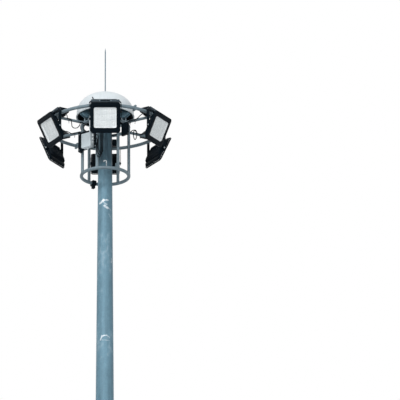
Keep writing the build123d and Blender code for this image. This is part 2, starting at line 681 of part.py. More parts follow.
yoke_inner = yoke_outline(YOKE_HALF_SPAN - YOKE_BAR, YOKE_TOP_RISE - YOKE_BAR, YOKE_BEVEL - bevel_inset)
yoke_outer = yoke_outline(YOKE_HALF_SPAN, YOKE_TOP_RISE, YOKE_BEVEL)
with BuildPart() as yokes:
    for azimuth in LAMP_AZIMUTHS:
        yoke_plane = radial_plane(azimuth, PIVOT_RADIUS, RING_Z)
        with BuildSketch(yoke_plane):
            with BuildLine():
                Polyline(*yoke_outer, *reversed(yoke_inner), close=True)
            make_face()
        extrude(amount=YOKE_WIDTH / 2, both=True)
        for side in (-1, 1):
            pivot_centre = yoke_plane.from_local_coords((side * YOKE_HALF_SPAN, -PIVOT_DROP, 0))
            pin_plane = Plane(origin=pivot_centre, z_dir=yoke_plane.x_dir * -side)
            with BuildSketch(pin_plane):
                Circle(PIN_RADIUS)
            extrude(amount=YOKE_BAR + PIN_LENGTH)
save(yokes.part, "yokes")

# Driver boxes with a lid and the gland of the lamp's lead
driver_middle_z = station_z + STATION_PLATE + DRIVER_HEIGHT / 2
lead_side = SPOKE_TUBE + LEAD_RADIUS + LEAD_GAP
with BuildPart() as driver_boxes:
    for azimuth, side in zip(LAMP_AZIMUTHS, LEAD_SIDES):
        with BuildSketch(radial_plane(azimuth, driver_inner_radius, driver_middle_z)):
            RectangleRounded(DRIVER_WIDTH, DRIVER_HEIGHT, DRIVER_CORNER)
        extrude(amount=DRIVER_LENGTH)
        lid_middle_z = driver_middle_z + (DRIVER_HEIGHT + DRIVER_LID) / 2
        with BuildSketch(radial_plane(azimuth, driver_inner_radius + DRIVER_LID_INSET, lid_middle_z)):
            Rectangle(DRIVER_WIDTH - 2 * DRIVER_CORNER, DRIVER_LID)
        extrude(amount=DRIVER_LENGTH - 2 * DRIVER_LID_INSET)
        with BuildSketch(radial_plane(azimuth, driver_inner_radius - GLAND_LENGTH, driver_middle_z)):
            with Locations((side * lead_side, 0)):
                Circle(GLAND_RADIUS)
        extrude(amount=GLAND_LENGTH + GLAND_ROOT)
save(driver_boxes.part, "driver_boxes")


def lamp_plane(azimuth, tilt):
    """Plane of a lamp head at its pivot: x sideways, y up its face and z out of its face."""
    out = (cos(radians(azimuth)), sin(radians(azimuth)))
    lean = radians(tilt)
    return Plane(
        origin=polar(PIVOT_RADIUS, azimuth, RING_Z - PIVOT_DROP),
        x_dir=(-out[1], out[0], 0),
        z_dir=(out[0] * cos(lean), out[1] * cos(lean), -sin(lean)),
    )


# Lamp heads: housing with ledge, tray modules and trunnions, finned heat sink, glass
leg_inner = YOKE_HALF_SPAN - YOKE_BAR
fin_pitch = (SINK_WIDTH - FIN_THICKNESS) / (FIN_COUNT - 1)
back = HEAD_FACE_FORWARD - HEAD_DEPTH
frame_back = HEAD_FACE_FORWARD - HEAD_FRAME_DEPTH
tray_floor = HEAD_FACE_FORWARD - TRAY_DEPTH
glass_back = HEAD_FACE_FORWARD - WINDOW_RECESS - GLASS_THICKNESS
for number, (azimuth, tilt) in enumerate(zip(LAMP_AZIMUTHS, LAMP_TILTS), start=1):
    face = lamp_plane(azimuth, tilt)
    with BuildPart() as lamp_housing:
        with BuildSketch(face.offset(frame_back)):
            with Locations((0, HEAD_FACE_UP)):
                RectangleRounded(HEAD_WIDTH, HEAD_HEIGHT, HEAD_CORNER)
        extrude(amount=HEAD_FRAME_DEPTH)
        with BuildSketch(face.offset(frame_back)):
            with Locations((0, HEAD_FACE_UP)):
                RectangleRounded(
                    HEAD_WIDTH - 2 * HEAD_FRAME_STEP,
                    HEAD_HEIGHT - 2 * HEAD_FRAME_STEP,
                    HEAD_CORNER - HEAD_FRAME_STEP,
                )
        with BuildSketch(face.offset(back)):
            with Locations((0, HEAD_FACE_UP)):
                RectangleRounded(
                    SINK_WIDTH + 2 * HEAD_BACK_MARGIN,
                    SINK_HEIGHT + 2 * HEAD_BACK_RISE,
                    HEAD_CORNER - HEAD_FRAME_STEP,
                )
        loft()
        with BuildSketch(face.offset(HEAD_FACE_FORWARD)):
            with Locations((0, HEAD_FACE_UP)):
                RectangleRounded(WINDOW_WIDTH, WINDOW_HEIGHT, WINDOW_CORNER)
        extrude(amount=glass_back - HEAD_FACE_FORWARD, mode=Mode.SUBTRACT)
        with BuildSketch(face.offset(glass_back)):
            with Locations((0, HEAD_FACE_UP)):
                RectangleRounded(
                    WINDOW_WIDTH - 2 * WINDOW_LEDGE,
                    WINDOW_HEIGHT - 2 * WINDOW_LEDGE,
                    WINDOW_CORNER - WINDOW_LEDGE,
                )
        extrude(amount=tray_floor - glass_back, mode=Mode.SUBTRACT)
        with BuildSketch(face.offset(tray_floor)):
            with Locations((0, HEAD_FACE_UP)):
                with GridLocations(MODULE_SPACING[0], MODULE_SPACING[1], MODULE_COLUMNS, MODULE_ROWS):
                    Rectangle(MODULE_SIZE[0], MODULE_SIZE[1])
        extrude(amount=MODULE_SIZE[2])
        for side in (-1, 1):
            boss_origin = face.from_local_coords((side * (leg_inner - BOSS_GAP), 0, 0))
            boss_plane = Plane(origin=boss_origin, z_dir=face.x_dir * -side)
            with BuildSketch(boss_plane):
                Circle(BOSS_RADIUS)
            extrude(amount=PIN_LENGTH + BOSS_GAP)
            with BuildSketch(boss_plane):
                Circle(PIN_RADIUS + PIN_GAP)
            extrude(amount=PIN_LENGTH, mode=Mode.SUBTRACT)
    save(lamp_housing.part, f"lamp_{number}_housing")

    with BuildPart() as lamp_sink:
        with BuildSketch(face.offset(back)):
            with Locations((0, HEAD_FACE_UP)):
                Rectangle(SINK_WIDTH, SINK_HEIGHT)
        extrude(amount=-SINK_BASE)
        with BuildSketch(face.offset(back - SINK_BASE)):
            with Locations((0, HEAD_FACE_UP)):
                Rectangle(SINK_WIDTH, SINK_HEIGHT)
        with BuildSketch(face.offset(back - SINK_DEPTH)):
            with Locations((0, HEAD_FACE_UP)):
                Rectangle(SINK_WIDTH - 2 * SINK_TAPER[0], SINK_HEIGHT - 2 * SINK_TAPER[1])
        loft()
        with BuildSketch(face.offset(back - SINK_BASE)):
            with Locations((0, HEAD_FACE_UP)):
                with GridLocations(fin_pitch, 0, FIN_COUNT - 1, 1):
                    Rectangle(fin_pitch - FIN_THICKNESS, SINK_HEIGHT)
        extrude(amount=SINK_BASE - SINK_DEPTH, mode=Mode.SUBTRACT)
    save(lamp_sink.part, f"lamp_{number}_heat_sink")

    with BuildPart() as lamp_glass:
        with BuildSketch(face.offset(glass_back)):
            with Locations((0, HEAD_FACE_UP)):
                RectangleRounded(
                    WINDOW_WIDTH - 2 * GLASS_GAP, WINDOW_HEIGHT - 2 * GLASS_GAP, WINDOW_CORNER - GLASS_GAP
                )
        extrude(amount=GLASS_THICKNESS)
    save(lamp_glass.part, f"lamp_{number}_glass")


def post_seat(azimuth, post_azimuth):
    """Distance from the axis of an upright plane that touches a post of the cage on its outer side."""
    return CAGE_RADIUS * cos(radians(azimuth - post_azimuth)) + POST_TUBE + BOX_SEAT_GAP


def post_offset(azimuth, post_azimuth):
    """Sideways place of a post of the cage, seen square to the plane at the azimuth."""
    return CAGE_RADIUS * sin(radians(post_azimuth - azimuth))


# Back plate on the left front post, with the spacer that reaches back to the left post
_, _, _, post_left, post_left_front, post_right_front = POST_AZIMUTHS
plate_radius = post_seat(BACK_PLATE_AZIMUTH, post_left_front)
plate_right = post_offset(BACK_PLATE_AZIMUTH, post_left_front) + BACK_PLATE_OVERHANG
spacer_middle = post_offset(BACK_PLATE_AZIMUTH, post_left)
plate_left = spacer_middle - SPACER_WIDTH / 2
plate_middle_z = RING_Z - BACK_PLATE_TOP_DROP - BACK_PLATE_HEIGHT / 2
with BuildPart() as back_plate:
    with BuildSketch(radial_plane(BACK_PLATE_AZIMUTH, plate_radius, plate_middle_z)):
        with Locations(((plate_left + plate_right) / 2, 0)):
            Rectangle(plate_right - plate_left, BACK_PLATE_HEIGHT)
    extrude(amount=BACK_PLATE_THICKNESS)
    spacer_radius = post_seat(BACK_PLATE_AZIMUTH, post_left)
    with BuildSketch(radial_plane(BACK_PLATE_AZIMUTH, spacer_radius, plate_middle_z)):
        with Locations((spacer_middle, 0)):
            Rectangle(SPACER_WIDTH, BACK_PLATE_HEIGHT)
    extrude(amount=plate_radius - spacer_radius)
save(back_plate.part, "back_plate")

# Junction box with its lid and glands
box_back = plate_radius + BACK_PLATE_THICKNESS
box_frame = radial_plane(BACK_PLATE_AZIMUTH, 0, RING_Z - JUNCTION_DROP)
box_right = JUNCTION_SHIFT + JUNCTION_SIZE[0] / 2
box_middle = box_back + JUNCTION_SIZE[2] / 2
with BuildPart() as junction_box:
    with BuildSketch(box_frame.offset(box_back)):
        with Locations((JUNCTION_SHIFT, 0)):
            RectangleRounded(JUNCTION_SIZE[0], JUNCTION_SIZE[1], JUNCTION_CORNER)
    extrude(amount=JUNCTION_SIZE[2])
    with BuildSketch(box_frame.offset(box_back + JUNCTION_SIZE[2])):
        with Locations((JUNCTION_SHIFT, 0)):
            RectangleRounded(JUNCTION_LID[0], JUNCTION_LID[1], JUNCTION_CORNER)
    extrude(amount=JUNCTION_LID[2])
    for rise in SIDE_GLAND_RISES:
        gland_root = box_frame.from_local_coords((box_right - GLAND_ROOT, rise, box_middle))
        with BuildSketch(Plane(origin=gland_root, z_dir=box_frame.x_dir)):
            Circle(SIDE_GLAND_RADIUS)
        extrude(amount=SIDE_GLAND_LENGTH + GLAND_ROOT)
    for shift, end in ((CONDUIT_SHIFT, 1), (JUNCTION_SHIFT + BOTTOM_GLAND_SHIFT, -1)):
        gland_root = box_frame.from_local_coords((shift, end * (JUNCTION_SIZE[1] / 2 - GLAND_ROOT), box_middle))
        with BuildSketch(Plane(origin=gland_root, z_dir=(0, 0, end))):
            Circle(SIDE_GLAND_RADIUS)
        extrude(amount=GLAND_LENGTH + GLAND_ROOT)
save(junction_box.part, "junction_box")

# Conduit from the box over the hub ring, down to the loom
loom_circle = CAGE_RADIUS - POST_TUBE - LOOM_RADIUS - LEAD_GAP
hub_reach = HUB_RING_TUBE + LOOM_RADIUS + LEAD_GAP
loom_drop = sqrt(hub_reach**2 - (CAGE_RADIUS - loom_circle) ** 2)
conduit_inner = CAGE_RADIUS - HUB_RING_TUBE - CONDUIT_RADIUS - 2 * BOX_SEAT_GAP
conduit_top = JUNCTION_DROP + CONDUIT_RISE
conduit_points = (
    (CONDUIT_SHIFT, JUNCTION_SIZE[1] / 2 + GLAND_LENGTH, box_middle),
    (CONDUIT_SHIFT, conduit_top, box_middle),
    (CONDUIT_SHIFT, conduit_top, conduit_inner),
    (CONDUIT_SHIFT, JUNCTION_DROP - loom_drop + LOOM_RADIUS + LEAD_GAP, conduit_inner),
)
with BuildPart() as conduit:
    add(bent_tube([box_frame.from_local_coords(point) for point in conduit_points], CONDUIT_BEND, CONDUIT_RADIUS))
save(conduit.part, "conduit")

# Cables: a loom inside the hub ring, a lead along each spoke and three leads from the junction box
with BuildPart() as cables:
    with BuildSketch(Plane.XZ):
        with Locations((loom_circle, RING_Z - loom_drop)):
            Circle(LOOM_RADIUS)
    revolve(axis=Axis.Z)
    lead_end = sqrt(loom_circle**2 - lead_side**2)
    loom_underside = -loom_drop - LOOM_RADIUS - LEAD_GAP
    under_hub = loom_underside - 2 * LEAD_RADIUS
    span_start = CAGE_RADIUS + 3 * HUB_RING_TUBE
    span = driver_inner_radius - 3 * GLAND_LENGTH - span_start
    bend = min(LEAD_BEND, LEAD_BEND_SHARE * span)
    for index, (azimuth, side) in enumerate(zip(LAMP_AZIMUTHS, LEAD_SIDES)):
        lead_plane = section_plane(azimuth).offset(-side * lead_side)
        slack = [(span_start + out * span, rise * span) for out, rise in LEAD_SLACK.get(index, (LEAD_DROOP,))]
        stretch = (
            (driver_inner_radius - GLAND_LENGTH, driver_middle_z - RING_Z),
            (span_start + span, driver_middle_z - RING_Z),
            *slack,
            (span_start, 0.0),
            (CAGE_RADIUS + HUB_RING_TUBE, under_hub),
            (lead_end, under_hub),
            (lead_end, loom_underside),
        )
        corners = [lead_plane.from_local_coords((radius, RING_Z + rise)) for radius, rise in stretch]
        bends = [bend] * (len(corners) - 3) + [bend / 2]
        add(bent_tube(corners, bends, LEAD_RADIUS))
    for rise, reach, drop in zip(SIDE_GLAND_RISES, BOX_LEAD_REACHES, BOX_LEAD_DROPS):
        inner = sqrt(loom_circle**2 - reach**2)
        points = (
            (box_right + SIDE_GLAND_LENGTH, rise, box_middle),
            (reach, rise, box_middle),
            (reach, JUNCTION_DROP - drop, box_middle),
            (reach, JUNCTION_DROP - drop, inner),
            (reach, JUNCTION_DROP + loom_underside, inner),
        )
        add(bent_tube([box_frame.from_local_coords(point) for point in points], BOX_LEAD_BENDS, LEAD_RADIUS))
save(cables.part, "cables")

# Relay box on two short rails at the right front post
rail_seat = post_seat(RELAY_AZIMUTH, post_right_front)
rail_left = post_offset(RELAY_AZIMUTH, post_right_front) - RAIL_OVERHANG
rail_right = RELAY_SHIFT + RELAY_SIZE[0] / 2 + RAIL_OVERHANG
relay_frame = radial_plane(RELAY_AZIMUTH, rail_seat, RING_Z - RELAY_DROP)
with BuildPart() as relay_rails:
    with BuildSketch(relay_frame):
        with Locations(((rail_left + rail_right) / 2, 0)):
            with GridLocations(0, RAIL_SPACING, 1, 2):
                Rectangle(rail_right - rail_left, RAIL_HEIGHT)
    extrude(amount=RAIL_THICKNESS)
save(relay_rails.part, "relay_rails")

with BuildPart() as relay_box:
    with BuildSketch(relay_frame.offset(RAIL_THICKNESS)):
        with Locations((RELAY_SHIFT, 0)):
            RectangleRounded(RELAY_SIZE[0], RELAY_SIZE[1], RELAY_CORNER)
    extrude(amount=RELAY_SIZE[2])
save(relay_box.part, "relay_box")
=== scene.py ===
"""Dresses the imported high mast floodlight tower: finishes, fasteners, welds, lenses and the studio.

Lengths are metres, +Z is up and the origin is the centre of the underside of the base flange.
Azimuths are degrees from +X towards +Y. The viewer of the photograph stands on the -Y side.
"""

from __future__ import annotations

import json
import logging
import math
from dataclasses import dataclass, field
from enum import Enum
from typing import Iterable, Sequence

import bmesh
import bpy
from mathutils import Matrix, Vector

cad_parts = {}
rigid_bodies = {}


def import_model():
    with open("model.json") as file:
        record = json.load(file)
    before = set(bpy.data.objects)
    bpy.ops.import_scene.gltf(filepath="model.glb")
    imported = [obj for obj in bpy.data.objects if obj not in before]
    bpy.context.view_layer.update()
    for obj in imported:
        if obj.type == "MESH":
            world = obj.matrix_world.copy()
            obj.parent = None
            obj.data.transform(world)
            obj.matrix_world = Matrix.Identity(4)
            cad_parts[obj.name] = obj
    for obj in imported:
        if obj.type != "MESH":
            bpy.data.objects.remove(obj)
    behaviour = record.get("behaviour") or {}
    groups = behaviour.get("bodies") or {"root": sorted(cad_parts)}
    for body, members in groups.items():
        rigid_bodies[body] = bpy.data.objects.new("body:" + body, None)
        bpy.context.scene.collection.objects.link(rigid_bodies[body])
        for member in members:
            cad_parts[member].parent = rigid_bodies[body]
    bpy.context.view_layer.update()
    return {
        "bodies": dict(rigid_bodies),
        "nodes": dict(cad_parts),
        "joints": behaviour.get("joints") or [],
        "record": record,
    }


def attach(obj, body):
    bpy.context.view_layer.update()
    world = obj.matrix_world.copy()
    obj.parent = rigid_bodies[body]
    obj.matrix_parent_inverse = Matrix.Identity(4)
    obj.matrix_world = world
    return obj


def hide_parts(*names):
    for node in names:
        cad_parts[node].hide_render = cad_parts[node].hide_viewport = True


log = logging.getLogger("floodlight_tower")

Colour = tuple[float, float, float]
Point = tuple[float, float, float]
Pair = tuple[float, float]
Span = tuple[float, float, float, float]
Piece = bpy.types.Object


@dataclass(frozen=True)
class Layout:
    """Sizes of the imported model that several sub-assemblies share."""

    ring_z: float = 19.890
    lamp_ring_radius: float = 0.986
    lamp_ring_tube: float = 0.0285
    cage_radius: float = 0.401
    hub_ring_tube: float = 0.027
    guide_ring_tube: float = 0.028
    guide_ring_drop: float = 0.894
    spoke_tube: float = 0.024
    post_tube: float = 0.025
    pole_top_z: float = 20.0
    pole_top_radius: float = 0.115
    pole_taper: float = 0.007
    pivot_radius: float = 1.015
    pivot_drop: float = 0.260
    rim_rise: float = 0.185
    box_azimuth: float = 234.0
    box_drop: float = 0.397
    lamp_azimuths: tuple[float, ...] = (270.0, 328.0, 30.0, 90.0, 150.0, 209.0)
    lamp_tilts: tuple[float, ...] = (28.0, 25.0, 26.0, 26.0, 24.0, 28.0)
    lead_sides: tuple[int, ...] = (1, -1, -1, 1, 1, 1)
    post_azimuths: tuple[float, ...] = (357.0, 57.0, 133.0, 197.0, 250.0, 303.0)
    arm_azimuths: tuple[float, ...] = (90.0, 210.0, 330.0)

    @property
    def rim_z(self) -> float:
        """Height of the dome's rim."""
        return self.ring_z + self.rim_rise

    @property
    def guide_z(self) -> float:
        """Height of the guide ring's middle."""
        return self.ring_z - self.guide_ring_drop

    def pole_radius(self, z: float) -> float:
        """Corner radius of the pole's upper section at height z."""
        return self.pole_top_radius + self.pole_taper * (self.pole_top_z - z)


LAYOUT = Layout()
UP = Vector((0.0, 0.0, 1.0))
SIDES = (-1.0, 1.0)
CORNERS = ((-1.0, -1.0), (-1.0, 1.0), (1.0, -1.0), (1.0, 1.0))
MILLIMETRE = 0.001
SHARP_ANGLE = math.radians(35.0)
FLAT_ANGLE = math.radians(0.6)
MERGE_DISTANCE = 2e-6
SEAM_STEPS = 28
BEND_STEP = 15.0
WHITE = (1.0, 1.0, 1.0, 1.0)


def on_circle(radius: float, angle: float, height: float = 0.0) -> Vector:
    """Point on a circle round the z axis, by its angle in radians."""
    return Vector((radius * math.cos(angle), radius * math.sin(angle), height))


def turns(count: int) -> list[float]:
    """Angles of a full turn in equal steps, from nought to the full turn itself."""
    return [math.tau * step / count for step in range(count + 1)]


def bend_angles(start: float, sweep: float) -> list[float]:
    """Angles in radians along a bend, from a start and over a sweep in degrees."""
    return [math.radians(start + BEND_STEP * k) for k in range(round(sweep / BEND_STEP) + 1)]


def polar(radius: float, azimuth: float, z: float = 0.0) -> Vector:
    """Point at a radius and azimuth round the pole's axis."""
    return on_circle(radius, math.radians(azimuth), z)


def frame_of(origin: Vector, x_axis: Vector, z_axis: Vector) -> Matrix:
    """Placement with a given origin, x axis and z axis.

    Args:
        origin: Where the frame stands.
        x_axis: Its x direction, of length one.
        z_axis: Its z direction, of length one and square to x.

    Returns:
        The 4x4 matrix that takes the frame's coordinates to the row frame.
    """
    y_axis = z_axis.cross(x_axis)
    matrix = Matrix((x_axis, y_axis, z_axis)).transposed().to_4x4()
    matrix.translation = origin
    return matrix


def upright(azimuth: float, radius: float = 0.0, z: float = 0.0) -> Matrix:
    """Frame seen from outside the pole: x sideways, y up and z outwards."""
    return frame_of(polar(radius, azimuth, z), polar(1.0, azimuth + 90.0), polar(1.0, azimuth))


def facing(frame: Matrix) -> Vector:
    """Direction of a frame's z axis."""
    return frame.to_3x3() @ UP


def lamp_frame(azimuth: float, tilt: float) -> Matrix:
    """Frame of a lamp head at its pivot: x sideways, y up its face and z out of its face.

    Args:
        azimuth: Of the head.
        tilt: Its lean below the horizontal.

    Returns:
        The frame's placement.
    """
    lean = math.radians(tilt)
    ahead = polar(math.cos(lean), azimuth) - Vector((0.0, 0.0, math.sin(lean)))
    pivot = polar(LAYOUT.pivot_radius, azimuth, LAYOUT.ring_z - LAYOUT.pivot_drop)
    return frame_of(pivot, polar(1.0, azimuth + 90.0), ahead)


def rgb(code: str) -> Colour:
    """Linear colour of an sRGB hex code such as 7a94a3."""
    parts = [int(code[i : i + 2], 16) / 255 for i in (0, 2, 4)]
    return tuple(c / 12.92 if c <= 0.04045 else ((c + 0.055) / 1.055) ** 2.4 for c in parts)


def scaled(colour: Colour, share: float) -> Colour:
    """Colour times a share, held at white."""
    return tuple(min(1.0, part * share) for part in colour)


class Slot(Enum):
    """Material slots of the record."""

    STEEL = "galvanised_steel"
    TUBE = "galvanised_tube"
    SHEAVES = "cast_sheaves"
    ROPE = "steel_rope"
    DOME = "dome_white"
    ROD = "rod_steel"
    BLACK = "black_coating"
    CASTING = "lamp_casting"
    GLASS = "lamp_glass"
    BOX = "box_grey"
    RUBBER = "cable_rubber"


class Value:
    """A shader socket that takes part in plain arithmetic on numbers."""

    def __init__(self, bench: Bench, socket: bpy.types.NodeSocket) -> None:
        """Wrap a socket of the bench's tree."""
        self.bench = bench
        self.socket = socket

    def _math(self, operation: str, first: Value | float, second: Value | float) -> Value:
        """Add a Math node and wrap its result."""
        return self.bench.add("ShaderNodeMath", {"operation": operation}, {0: first, 1: second}).out()

    def __add__(self, other: Value | float) -> Value:
        """Sum with a value or number."""
        return self._math("ADD", self, other)

    __radd__ = __add__

    def __sub__(self, other: Value | float) -> Value:
        """Difference with a value or number."""
        return self._math("SUBTRACT", self, other)

    def __rsub__(self, other: Value | float) -> Value:
        """Number minus this value."""
        return self._math("SUBTRACT", other, self)

    def __mul__(self, other: Value | float) -> Value:
        """Product with a value or number."""
        return self._math("MULTIPLY", self, other)

    __rmul__ = __mul__

    def __truediv__(self, other: Value | float) -> Value:
        """Quotient with a value or number."""
        return self._math("DIVIDE", self, other)

    def __pow__(self, other: Value | float) -> Value:
        """Power of this value."""
        return self._math("POWER", self, other)

    def below(self, limit: float, soft: float) -> Value:
        """Mask that is one below a limit and fades to nought over a soft width."""
        return self.bench.ramp(self, limit, limit + soft, 1.0, 0.0)


class Added:
    """A node on a bench, whose outputs are read by name or place."""

    def __init__(self, bench: Bench, node: bpy.types.Node) -> None:
        """Keep the node and the bench that it stands on."""
        self.bench = bench
        self.node = node

    def out(self, name: str | int = 0) -> Value:
        """One output as a value."""
        return Value(self.bench, self.node.outputs[name])


@dataclass(frozen=True)
class Noise:
    """A noise pattern: its scale, its detail and how much finer it is along each axis."""

    scale: float
    detail: float = 3.0
    stretch: Point = (1.0, 1.0, 1.0)
    roughness: float = 0.55


class Bench:
    """Adds nodes to one tree, of a material, a world or Geometry Nodes."""

    def __init__(self, tree: bpy.types.NodeTree) -> None:
        """Start on an existing tree."""
        self.tree = tree

    @classmethod
    def emptied(cls, owner: bpy.types.Material | bpy.types.World) -> Bench:
        """Bench on the emptied tree of a material or world.

        Args:
            owner: The material or world.

        Returns:
            The bench.
        """
        owner.use_nodes = True
        owner.node_tree.nodes.clear()
        return cls(owner.node_tree)

    def add(self, kind: str, settings: dict | None = None, sockets: dict | None = None) -> Added:
        """Add a node.

        Args:
            kind: The node's type.
            settings: Attributes that are set first.
            sockets: Values or links, by the socket's name or place.

        Returns:
            The new node.
        """
        node = self.tree.nodes.new(kind)
        for name, value in (settings or {}).items():
            setattr(node, name, value)
        for name, value in (sockets or {}).items():
            if isinstance(value, Value):
                self.tree.links.new(value.socket, node.inputs[name])
            elif value is not None:
                node.inputs[name].default_value = value
        return Added(self, node)

    def ramp(self, value: Value, start: float, end: float, low: float, high: float) -> Value:
        """Value mapped from one span to another, and held at its ends."""
        sockets = {"Value": value, "From Min": start, "From Max": end, "To Min": low, "To Max": high}
        return self.add("ShaderNodeMapRange", {"interpolation_type": "SMOOTHSTEP"}, sockets).out()

    def clamp(self, value: Value) -> Value:
        """Value held between nought and one."""
        return self.add("ShaderNodeClamp", None, {0: value}).out()

    def blend(self, mask: Value | float, first: Value | Colour, second: Value | Colour) -> Value:
        """Colour that goes from first to second as the mask goes from nought to one."""
        sides = [side if isinstance(side, Value) else (*side, 1.0) for side in (first, second)]
        return self.add("ShaderNodeMix", {"data_type": "RGBA"}, {0: mask, 6: sides[0], 7: sides[1]}).out(2)

    def noise(self, where: Value, pattern: Noise) -> Value:
        """Noise from nought to one.

        Args:
            where: The place.
            pattern: The noise.

        Returns:
            Its level.
        """
        placed = self.add("ShaderNodeMapping", None, {"Vector": where, "Scale": pattern.stretch}).out()
        sockets = {"Scale": pattern.scale, "Detail": pattern.detail, "Roughness": pattern.roughness}
        return self.add("ShaderNodeTexNoise", None, {"Vector": placed, **sockets}).out(0)

    def axes(self, where: Value) -> tuple[Value, Value, Value]:
        """The three parts of a vector."""
        parts = self.add("ShaderNodeSeparateXYZ", None, {0: where})
        return parts.out(0), parts.out(1), parts.out(2)

    def combine(self, x: Value | float, y: Value | float, z: Value | float) -> Value:
        """Vector of three parts."""
        return self.add("ShaderNodeCombineXYZ", None, {0: x, 1: y, 2: z}).out()

    def pair(self, operation: str, first: Value, second: Value) -> Value:
        """Result of a Math operation on two values."""
        return self.add("ShaderNodeMath", {"operation": operation}, {0: first, 1: second}).out()


Surface = tuple[Value, Value, Value | None]
Plain = tuple[tuple[str, float], ...]


@dataclass(frozen=True)
class Finish:
    """A finish with one colour, the base of the richer ones; plain values go straight to the shader."""

    name: str
    colour: Colour
    roughness: float = 0.5
    metallic: float = 0.0
    grain: float = 0.0
    grain_scale: float = 400.0
    clouds: Noise = Noise(9.0, 4.0)
    shades: Pair = (0.86, 1.12)
    uneven: float = 0.16
    plain: Plain = ()

    def material(self) -> bpy.types.Material:
        """The Blender material of this finish, made once.

        Returns:
            The material.
        """
        known = bpy.data.materials.get(self.name)
        if known is not None:
            return known
        made = bpy.data.materials.new(self.name)
        bench = Bench.emptied(made)
        where = bench.add("ShaderNodeTexCoord").out("Object")
        colour, roughness, height = self.surface(bench, where)
        sockets: dict = {"Base Color": colour, "Roughness": roughness, "Metallic": self.metallic}
        if height is not None:
            bump = {"Strength": 1.0, "Distance": MILLIMETRE, "Height": height}
            sockets["Normal"] = bench.add("ShaderNodeBump", None, bump).out()
        shader = bench.add("ShaderNodeBsdfPrincipled", None, {**sockets, **dict(self.plain)}).out()
        bench.add("ShaderNodeOutputMaterial", None, {"Surface": shader})
        made.diffuse_color = (*self.colour, 1.0)
        return made

    def shade(self, bench: Bench, mask: Value) -> Value:
        """Colour between the finish's first and second shade."""
        first, second = (scaled(self.colour, share) for share in self.shades)
        return bench.blend(mask, first, second)

    def surface(self, bench: Bench, where: Value) -> Surface:
        """Colour, roughness and height in millimetres over the surface.

        Args:
            bench: The material's bench.
            where: Object coordinates.

        Returns:
            Values for Base Color, Roughness and Bump; the last may be None.
        """
        cloud = bench.noise(where, self.clouds)
        fine = bench.noise(where, Noise(self.grain_scale, 2.0))
        return self.shade(bench, cloud), self.roughness + (cloud - 0.5) * self.uneven, fine * self.grain


@dataclass(frozen=True)
class Galvanised(Finish):
    """Weathered hot-dip zinc: crystals, cloudy mottling and runs down the surface."""

    roughness: float = 0.55
    metallic: float = 0.2
    mottle: float = 0.22
    run_strength: float = 0.14
    crystal_scale: float = 62.0
    crystal_strength: float = 0.09
    crystal_gloss: float = 0.14
    crystal_height: float = 0.05
    clouds: Noise = Noise(5.0, 5.0, (1.0, 1.0, 0.45))
    cloud_gloss: float = 0.2
    patches: Noise = Noise(17.0, 3.0, (1.0, 1.0, 0.6))
    patch_height: float = 0.35
    runs: Noise = Noise(26.0, 2.0, (1.0, 1.0, 0.035))
    pits: Noise = Noise(210.0, 2.0)
    pit_height: float = 0.12
    shades: Pair = (0.45, 1.75)
    level_span: Span = (0.45, 1.75, 0.0, 1.0)
    chalk_span: Span = (1.05, 1.35, 0.0, 0.22)
    chalk: Colour = rgb("b9c4ca")
    plain: Plain = (("Specular IOR Level", 0.3),)

    def surface(self, bench: Bench, where: Value) -> Surface:
        """Zinc crystals over clouds and vertical runs.

        Args:
            bench: The material's bench.
            where: Object coordinates.

        Returns:
            Values for Base Color, Roughness and Bump.
        """
        sockets = {"Vector": where, "Scale": self.crystal_scale, "Randomness": 1.0}
        cells = bench.add("ShaderNodeTexVoronoi", None, sockets)
        crystal = bench.add("ShaderNodeSeparateColor", None, {0: cells.out("Color")}).out(0)
        cloud = bench.noise(where, self.clouds)
        patch = bench.noise(where, self.patches)
        runs = bench.noise(where, self.runs)
        level = 1.0 + (cloud - 0.5) * (2 * self.mottle) + (patch - 0.5) * self.mottle
        level = level + (runs - 0.5) * (2 * self.run_strength) + (crystal - 0.5) * self.crystal_strength
        colour = self.shade(bench, bench.ramp(level, *self.level_span))
        colour = bench.blend(bench.ramp(patch + cloud, *self.chalk_span), colour, self.chalk)
        colour = self.stained(bench, where, colour)
        roughness = self.roughness + (crystal - 0.5) * self.crystal_gloss + (cloud - 0.5) * self.cloud_gloss
        pits = bench.noise(where, self.pits) * self.pit_height
        return colour, roughness, crystal * self.crystal_height + pits + patch * self.patch_height

    def stained(self, bench: Bench, where: Value, colour: Value) -> Value:
        """Colour after a finish's own stains, of which the plain one has none."""
        return colour


@dataclass(frozen=True)
class Scuff:
    """A pale rub mark on the pole's front: a stroke between two places (x, z)."""

    start: Pair
    end: Pair
    start_width: float
    end_width: float
    strength: float = 0.9
    core: float = 0.35
    fade: float = 0.75

    def mask(self, bench: Bench, x: Value, z: Value) -> Value:
        """How much of the mark lies at x and z, from nought to one.

        Args:
            bench: The material's bench.
            x: Sideways place.
            z: Height.

        Returns:
            The mask.
        """
        run_x, run_z = self.end[0] - self.start[0], self.end[1] - self.start[1]
        off_x, off_z = x - self.start[0], z - self.start[1]
        share = bench.clamp((off_x * run_x + off_z * run_z) / (run_x**2 + run_z**2))
        side_x, side_z = off_x - share * run_x, off_z - share * run_z
        reach = (side_x * side_x + side_z * side_z) ** 0.5
        width = self.start_width + share * (self.end_width - self.start_width)
        return (reach / width).below(self.core, self.fade) * self.strength


